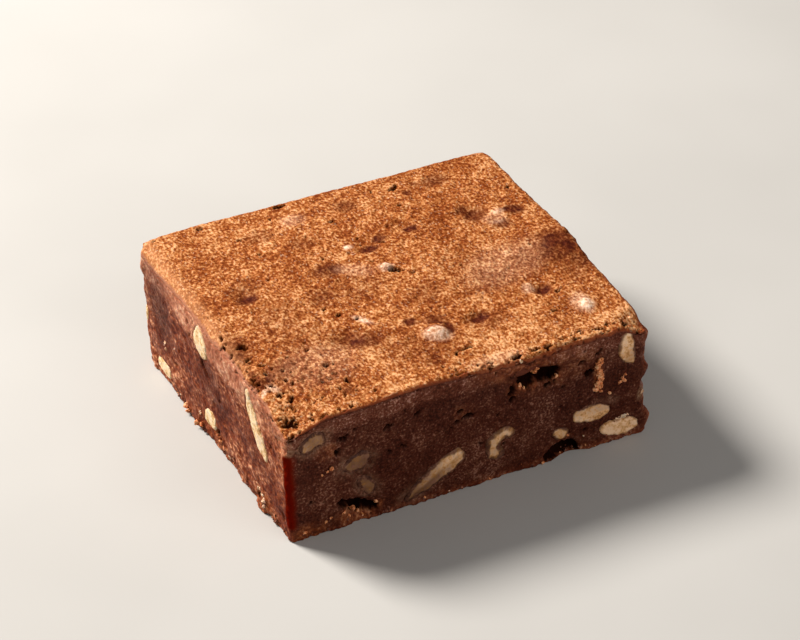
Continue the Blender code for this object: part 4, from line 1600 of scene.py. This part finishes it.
        corner, first = (1 - room, 0.01), rings * count
        loops = [np.arange(count)]
        loops += [first + k * count + np.arange(count) for k in range(len(self.foot_insets))]
        sizes = [1 - inset * MM / (f.width / 2) for inset in (0, *self.foot_insets)]
        for outer, inner, a, b in zip(loops, loops[1:], sizes, sizes[1:]):
            big, small = flat(a, corner), flat(b, corner)
            net.add([inner, inner[after], outer[after], outer], [small, small[after], big[after], big])
        middle = first + (len(self.foot_insets) + 1) * count
        close(loops[-1], middle, flat(sizes[-1], corner), corner)
        top, lining = (rings - 1) * count + np.arange(count), middle - count + np.arange(count)
        corner = (1 - room, 0.36)
        big, small = flat(1.0, corner), flat(0.9, corner)
        net.add([top, top[after], lining[after], lining], [big, big[after], small[after], small])
        close(lining[::-1], middle + 1, small[::-1], corner)
        return net

    def openings(self, place: Array, side: Array, along: Array, up: Array) -> tuple[Array, Array, Array]:
        """Finds the pits, and the broken and the filmed-over places.

        Args:
            place: The points of the sides.
            side: The number of each point's side.
            along: Millimetres along the side.
            up: Millimetres up it.

        Returns:
            The pits' depth in millimetres, how broken each point is, and how filmed over.
        """
        warp_a = along + 0.6 * self.wander.layers(place, 1.5, 4, 0.75)
        warp_u = up + 0.6 * self.wander.layers(place + 0.03, 1.5, 4, 0.75)
        depth, broken, film = np.zeros((3, len(place)))
        for which in Side:
            here = side == which.value
            a, u = warp_a[here], warp_u[here]
            thrown = scattered(40 + which.value, 60, (0, 0), (70, 24), (0.12, 0.3))
            far_a = a + 0.55 * self.sieve.layers(place[here], 0.7, 2)
            far_u = u + 0.55 * self.sieve.layers(place[here] + 0.01, 0.7, 2)
            depth[here] = holes(far_a, far_u, self.pits[which] + thrown, 2.0)
            broken[here] = spots(a, u, self.broken[which], 0.5)
            if which is Side.FRONT:
                film[here] = spots(a, u, self.films, 0.6)
        return depth, broken, film

    def room_for(self, walnuts: WalnutPieces, place: Array, face: Array) -> Array:
        """Where the sides make room for walnut pieces, with soft edges.

        Args:
            walnuts: The walnut pieces.
            place: The points of the sides.
            face: The directions that they face.

        Returns:
            0 to 1 for each point.
        """
        room = walnuts.cover(place, face).reshape(self.rings, self.block.count)
        for _ in range(2):
            room = (room + np.roll(room, 1, 1) + np.roll(room, -1, 1)) / 3
            room[1:-1] = (room[:-2] + room[1:-1] + room[2:]) / 3
        return room.ravel()

    def glow(self, place: Array, side: Array, along: Array, up: Array) -> Array:
        """Where light comes through the thin fudge, on both sides of the near corner.

        Args:
            place: The points of the sides.
            side: The number of each point's side.
            along: Millimetres along the side.
            up: Millimetres up it.

        Returns:
            0 to 1 for each point.
        """
        reach = np.where(side == Side.FRONT.value, along, -along)
        glow = ease((2.1 + 0.3 * self.ripple.at(place, 2) - reach) / 1.7) * ease((reach + 2.0) / 0.9)
        shows = np.isin(side, (Side.FRONT.value, Side.LEFT.value))
        return glow * (shows * ease((19.6 - up) / 0.8) * ease((up - 2.2) / 1.2))

    def shape(self, body: Item, levels: Array, walnuts: WalnutPieces) -> None:
        """Roughens the cut sides, opens their pits, and tells the finish what is where.

        Args:
            body: The crumb body.
            levels: The height of each ring.
            walnuts: The walnut pieces that the crumb makes room for.
        """
        block, f, count, rings = self.block, self.block.form, self.block.count, self.rings
        points, normals = read_points(body.data), read_normals(body.data)
        shown = rings * count
        place, face = points[:shown], normals[:shown]
        along, side = np.tile(block.rim_along, rings), np.tile(block.rim_side, rings)
        up = np.repeat(levels / MM, count)
        sunk = f.height / MM - up
        line = np.tile(block.crust_line(), rings)
        ripple, sieve = self.ripple, self.sieve
        depth, broken, film = self.openings(place, side, along, up)
        dry = np.array(self.dryness)[side]
        dry -= spots(along, up, self.damp_zones, 0.8) * (side == Side.LEFT.value)
        middle_along, middle_up, reach, much = self.front_damp
        dry -= much * bell(np.hypot(along - middle_along, up - middle_up), reach) * (side == Side.FRONT.value)
        # The bottom edge and the upright corners crumble more than the rest.
        foot = ease(1 - (up - 0.4 * ripple.layers(place, 3, 2)) / 2.2)
        far = np.where(side % 2 == 0, *self.side_lengths) - along
        corner = ease((1.6 - np.minimum(along, far)) / 1.4)
        crumbly = np.clip(0.25 + 0.5 * dry + broken + 0.8 * foot + 0.4 * corner, 0, 1.6)
        lift = 0.16 * ripple.layers(place, 6) + 0.13 * crumbly * ripple.layers(place, 1.4, 3, 0.7)
        lift += 0.42 * foot * (ripple.layers(place + 0.05, 1.7, 3, 0.75) - 0.15)
        lift += 0.30 * corner * ripple.layers(place + 0.04, 2.2, 3, 0.7)
        depth += 0.30 * crumbly * ease((sieve.layers(place, 0.8, 3, 0.7) - 0.34) / 0.2)
        depth *= 1 + 0.35 * sieve.layers(place + 0.02, 0.9, 2)
        room = self.room_for(walnuts, place, face)
        depth *= 1 - ease(room * 2)
        # Under the crust and behind the walnut pieces, the crumb gives way.
        hidden = ease((line - sunk) / 0.3)
        lift = (lift * (1 - ease(room * 2)) - depth) * (1 - hidden) - 0.3 * hidden
        lift -= self.recess * ease((room - 0.4) / 0.35)
        points[:shown] += face * (lift * MM)[:, None]
        points[:shown, 2] = np.maximum(points[:shown, 2], 0.0)
        points[:count, 2] = (0.06 + 0.18 * np.clip(ripple.layers(place[:count], 1.6, 2) + 0.3, 0, 1)) * MM
        write_points(body.data, points)

        band = ease((np.array(self.band_depth)[side] + 1.4 * ripple.layers(place, 4) - sunk) / 1.8)
        band = np.maximum(band, 0.4 * ease((0.9 - up) / 0.9) * (side == Side.LEFT.value))
        rough = np.clip(0.2 + 0.4 * dry + 0.7 * broken + 0.6 * foot, 0, 1.4)
        dried = dry + 0.12 * ripple.layers(place, 5, 2) * (dry > 0.3)
        dried = dried + 0.45 * foot * (dry < 0.9) + 0.4 * corner * (dry < 0.9)
        values = {
            "rough": rough * (1 - hidden) * (1 - ease(room * 2)),
            "dry": np.clip(dried, 0, 1),
            "band": band * 0.9,
            "film": film,
            "broken": np.clip(broken * ease(1.3 - depth) + 0.06 * foot, 0, 1),
            "glow": self.glow(place, side, along, up),
            # where shade is painted into the pits
            "pit_shade": ease((depth - 0.16) / 0.28) * 0.97,
        }
        rest = np.zeros(len(points) - shown)
        for name, value in values.items():
            store(body, name, np.append(value, rest + 0.4 * (name in ("dry", "rough"))))


def by_side(groups: Groups) -> list[tuple]:
    """The rows of a table in groups, each with its side in front."""
    return [(side, *row) for side, rows in groups for row in rows]


@dataclass
class LooseBits:
    """Crumbs that cling to the cut sides and to the crust."""

    block: Block
    throw: CrumbThrow
    looks: dict[str, Palette] = field(
        default_factory=lambda: {
            "dry_crumbs": ((0.24, 0.055, 0.016), (0.76, 0.26, 0.095), (1.0, 0.56, 0.31)),
            "fudge_crumbs": ((0.05, 0.013, 0.007), (0.15, 0.045, 0.026), (0.36, 0.16, 0.10)),
            "walnut_crumbs": ((0.50, 0.26, 0.14), (0.78, 0.50, 0.32), (0.93, 0.76, 0.58)),
        }
    )
    # Side (None for the crust), along, up, size, and how far out, in millimetres.
    dry_places: Groups = (
        (Side.FRONT, (
            (64.9, 14.1, 1.1, 0.1), (64.4, 13.3, 0.8, 0.1), (65.4, 14.7, 0.6, 0.1), (62.4, 11.5, 0.7, 0.0),
            (8.0, 14.0, 0.8, 0.1), (7.2, 13.6, 0.8, 0.1), (6.3, 13.1, 0.5, 0.0), (12.5, 2.2, 1.0, -0.5),
            (13.4, 1.5, 1.0, -0.4), (65.0, 13.6, 0.9, 0.2), (16.3, 3.4, 0.9, -0.2), (10.1, 3.2, 0.7, -0.1),
            (11.2, 1.6, 0.8, -0.3), (13.9, 0.8, 0.9, -0.3), (2.6, 1.7, 0.8, 0.0), (6.6, 2.6, 0.7, 0.0),
            (7.6, 3.2, 0.5, 0.0), (48.1, 20.3, 0.9, -0.7), (48.3, 21.2, 0.7, -0.4), (44.5, 19.2, 0.8, -0.3),
            (45.2, 18.6, 0.6, -0.2), (51.7, 19.0, 0.7, -0.2), (11.4, 2.5, 0.8, -0.9),
            (12.2, 1.6, 0.8, -0.6), (54.0, 4.6, 0.6, -0.2),
        )),
        (Side.LEFT, (
            (43.1, 1.0, 1.3, 0.2), (42.0, 0.7, 0.8, 0.3), (37.7, 1.0, 1.1, 0.1), (36.4, 1.4, 0.9, 0.1),
            (29.0, 2.4, 0.7, 0.0), (27.8, 1.6, 0.8, 0.0),
        )),
        (Side.RIGHT, ((11.0, 16.6, 0.9, -0.2), (43.0, 1.8, 1.0, -0.4))),
        (Side.BACK, ((49.4, 17.2, 0.9, -0.2), (23.0, 1.4, 1.0, -0.4))),
        (None, (
            (44.9, 1.9, 0.6, 0.1), (45.4, 1.2, 0.5, 0.1), (66.7, 2.5, 0.7, 0.1), (67.3, 1.7, 0.6, 0.0),
            (60.8, 15.2, 0.7, 0.1), (68.2, 3.2, 0.5, 0.1),
        )),
    )
    # The walnut crumbs along the top edge of the front slab, 63 to 66 along and 5 up, and the one at 69 along
    # and 9.4 up, are pale bits that are partly a painted highlight: they stand where glints catch the light.
    walnut_places: Groups = (
        (Side.FRONT, (
            (63.3, 4.8, 0.7, -0.2), (63.8, 5.0, 0.8, -0.2), (64.3, 5.0, 0.9, -0.2), (64.8, 5.2, 0.8, -0.2),
            (65.3, 5.2, 0.9, -0.2), (65.9, 5.3, 0.7, -0.2), (44.9, 24.9, 0.7, 0.0),
        )),
        (Side.LEFT, (
            (52.1, 8.7, 1.5, -0.45), (51.9, 7.6, 0.9, -0.25), (13.2, 3.0, 1.1, -0.4),
            (12.2, 3.5, 1.3, -0.45), (11.2, 3.1, 1.5, -0.5), (10.5, 2.2, 1.4, -0.4), (10.1, 1.3, 1.1, -0.3),
            (37.0, 3.4, 0.8, -0.1), (47.4, 10.4, 0.5, -0.1),
        )),
        (Side.FRONT, ((69.0, 9.4, 0.8, -0.2), (57.0, 3.6, 0.6, -0.1))),
    )

    def streak(self) -> list[tuple]:
        """The upright run of crumbs near the right end of the front side."""
        rng = np.random.default_rng(9)
        rows = []
        for up in np.linspace(12.9, 19.9, 64):
            along = 60.15 + 0.22 * math.sin(1.3 * up) + rng.uniform(-0.55, 0.55)
            rows.append((Side.FRONT, along, up, rng.uniform(0.4, 1.1), rng.uniform(-0.1, 0.35)))
        return rows

    def foot(self, seed: int, count: int, sides: tuple[Side, ...]) -> list[tuple]:
        """Crumbs along the bottom edges.

        Args:
            seed: Picks one throw.
            count: How many for each side.
            sides: The sides that get them.

        Returns:
            Their places.
        """
        rng = np.random.default_rng(seed)
        rows = []
        for side in sides:
            for along in rng.uniform(1, 69 if side.runs_along_x else 60, count):
                size = 0.3 + 0.6 * rng.random() ** 2
                rows.append((side, along, size / 2 + abs(rng.normal(0, 0.8)), size, rng.uniform(-0.25, 0.0)))
        return rows

    def build(self) -> list[Item]:
        """Makes every kind of crumbs.

        Returns:
            One object for each kind.
        """
        every = tuple(Side)
        places = {
            "dry_crumbs": [*by_side(self.dry_places), *self.streak(), *self.foot(14, 7, every)],
            "fudge_crumbs": self.foot(15, 44, every),
            "walnut_crumbs": [*by_side(self.walnut_places), *self.foot(16, 2, every)],
        }
        return [self.make(name, rows, seed) for seed, (name, rows) in enumerate(places.items())]

    def make(self, name: str, rows: list[tuple], seed: int) -> Item:
        """Throws crumbs onto their places.

        Args:
            name: The piece's name.
            rows: Where they lie and how big they are.
            seed: Picks their turns and shapes.

        Returns:
            The crumbs as one object.
        """
        mesh = bpy.data.meshes.new(name)
        mesh.from_pydata([tuple(self.block.spot(side, a, u, out)) for side, a, u, _, out in rows], [], [])
        piece = link(name, mesh)
        store(piece, "size", np.array([row[3] * MM for row in rows]))
        look = BitFinish(name, self.looks[name]).material()
        self.throw.apply(piece, Lumpiness=1.25, Seed=seed, Finish=look)
        piece.data.shade_smooth()
        points = read_points(piece.data)
        points[:, 2] = np.maximum(points[:, 2], 0.0)
        write_points(piece.data, points)
        return piece


@dataclass
class Studio:
    """A pale floor, soft light and the camera."""

    azimuth: float = -26.59
    elevation: float = 35.53
    distance: float = 0.5769
    lens: float = 144.0
    aim_right: float = 1.28 * MM
    aim_up: float = 3.14 * MM
    world: float = 0.14
    # Name, level heading, degrees above the level, metres away, metres across, watts, colour.
    lights: Rows = (
        ("key", (-0.59, 0.81), 42, 0.9, 0.30, 15.8, (1.0, 0.95, 0.88)),
        ("fill", (0.35, -0.94), 30, 0.9, 0.80, 3.0, (1.0, 0.95, 0.90)),
    )

    def build(self, block: Block) -> None:
        """Sets the scene round the brownie.

        Args:
            block: Tells the camera where the plain block's middle is.
        """
        scene = bpy.context.scene
        scene.view_settings.view_transform = "Standard"
        scene.world = bpy.data.worlds.new("studio")
        scene.world.use_nodes = True
        ground = scene.world.node_tree.nodes["Background"]
        ground.inputs["Color"].default_value = (1.0, 0.98, 0.96, 1)
        ground.inputs["Strength"].default_value = self.world
        self.floor()
        for row in self.lights:
            self.light(*row)
        self.camera(Vector(block.step) + Vector((0, 0, block.form.height / 2)))

    def floor(self) -> None:
        """Lays the floor just under the brownie."""
        reach, under = 2.5, CAD_BOX[0].z - 0.05 * MM
        mesh = bpy.data.meshes.new("floor")
        corners = [(x * reach, y * reach, under) for x, y in ((-1, -1), (1, -1), (1, 1), (-1, 1))]
        mesh.from_pydata(corners, [], [(0, 1, 2, 3)])
        mesh.materials.append(FloorFinish().material())
        link("floor", mesh)

    def light(
        self, name: str, heading: tuple, elevation: float, far: float, size: float, power: float, tint: Colour
    ) -> None:
        """Hangs a soft round light that faces the brownie.

        Args:
            name: The light's name.
            heading: Level direction from the brownie to the light.
            elevation: Degrees above the level.
            far: Metres away.
            size: Metres across.
            power: Watts.
            tint: Its colour.
        """
        data = bpy.data.lights.new(name, "AREA")
        data.shape, data.size, data.energy, data.color = "DISK", size, power, tint
        lamp = bpy.data.objects.new(name, data)
        up = math.radians(elevation)
        back = Vector((*heading, 0)).normalized() * math.cos(up) + Vector((0, 0, math.sin(up)))
        lamp.location = back * far
        lamp.rotation_euler = back.to_track_quat("Z", "Y").to_euler()
        bpy.context.scene.collection.objects.link(lamp)

    def camera(self, middle: Vector) -> None:
        """Sets up the camera.

        Args:
            middle: The middle of the plain block.
        """
        az, el = math.radians(self.azimuth), math.radians(self.elevation)
        back = Vector((math.sin(az) * math.cos(el), -math.cos(az) * math.cos(el), math.sin(el)))
        right = Vector((math.cos(az), math.sin(az), 0))
        data = bpy.data.cameras.new("camera")
        data.lens, data.sensor_width, data.clip_start, data.clip_end = self.lens, 36, 0.01, 20
        camera = bpy.data.objects.new("camera", data)
        aim = middle + right * self.aim_right + back.cross(right) * self.aim_up
        camera.location = aim + back * self.distance
        camera.rotation_euler = back.to_track_quat("Z", "Y").to_euler()
        bpy.context.scene.collection.objects.link(camera)
        bpy.context.scene.camera = camera


def place(piece: Item, slot: str, *nodes: str) -> None:
    """Hands a finished piece to the frame and reports it.

    Args:
        piece: The piece.
        slot: The record's material slot of its finish. Not used.
        *nodes: The CAD nodes that it stands for.
    """
    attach(piece, "root")
    if nodes:
        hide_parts(*nodes)
    piece.data.calc_loop_triangles()
    LOG.info("%s: %d triangles", piece.name, len(piece.data.loop_triangles))


def main() -> None:
    """Builds the brownie piece by piece, then its studio."""
    logging.basicConfig(level=logging.INFO, format="%(name)s %(message)s")
    block, relief = Block(), GrainRelief()
    walnuts = WalnutPieces()
    walnuts.build()
    place(Crust(block, relief).build(), "crust", "brownie")
    place(CrumbBody(block, relief).build(walnuts), "fudge_crumb", "brownie")
    for name, piece in zip(walnuts.names, walnuts.pieces):
        place(piece, "walnut", name)
    slots = {"dry_crumbs": "crust", "fudge_crumbs": "fudge_crumb", "walnut_crumbs": "walnut"}
    for piece in LooseBits(block, CrumbThrow()).build():
        place(piece, slots[piece.name])
    Studio().build(block)


if __name__ == "__main__":
    main()
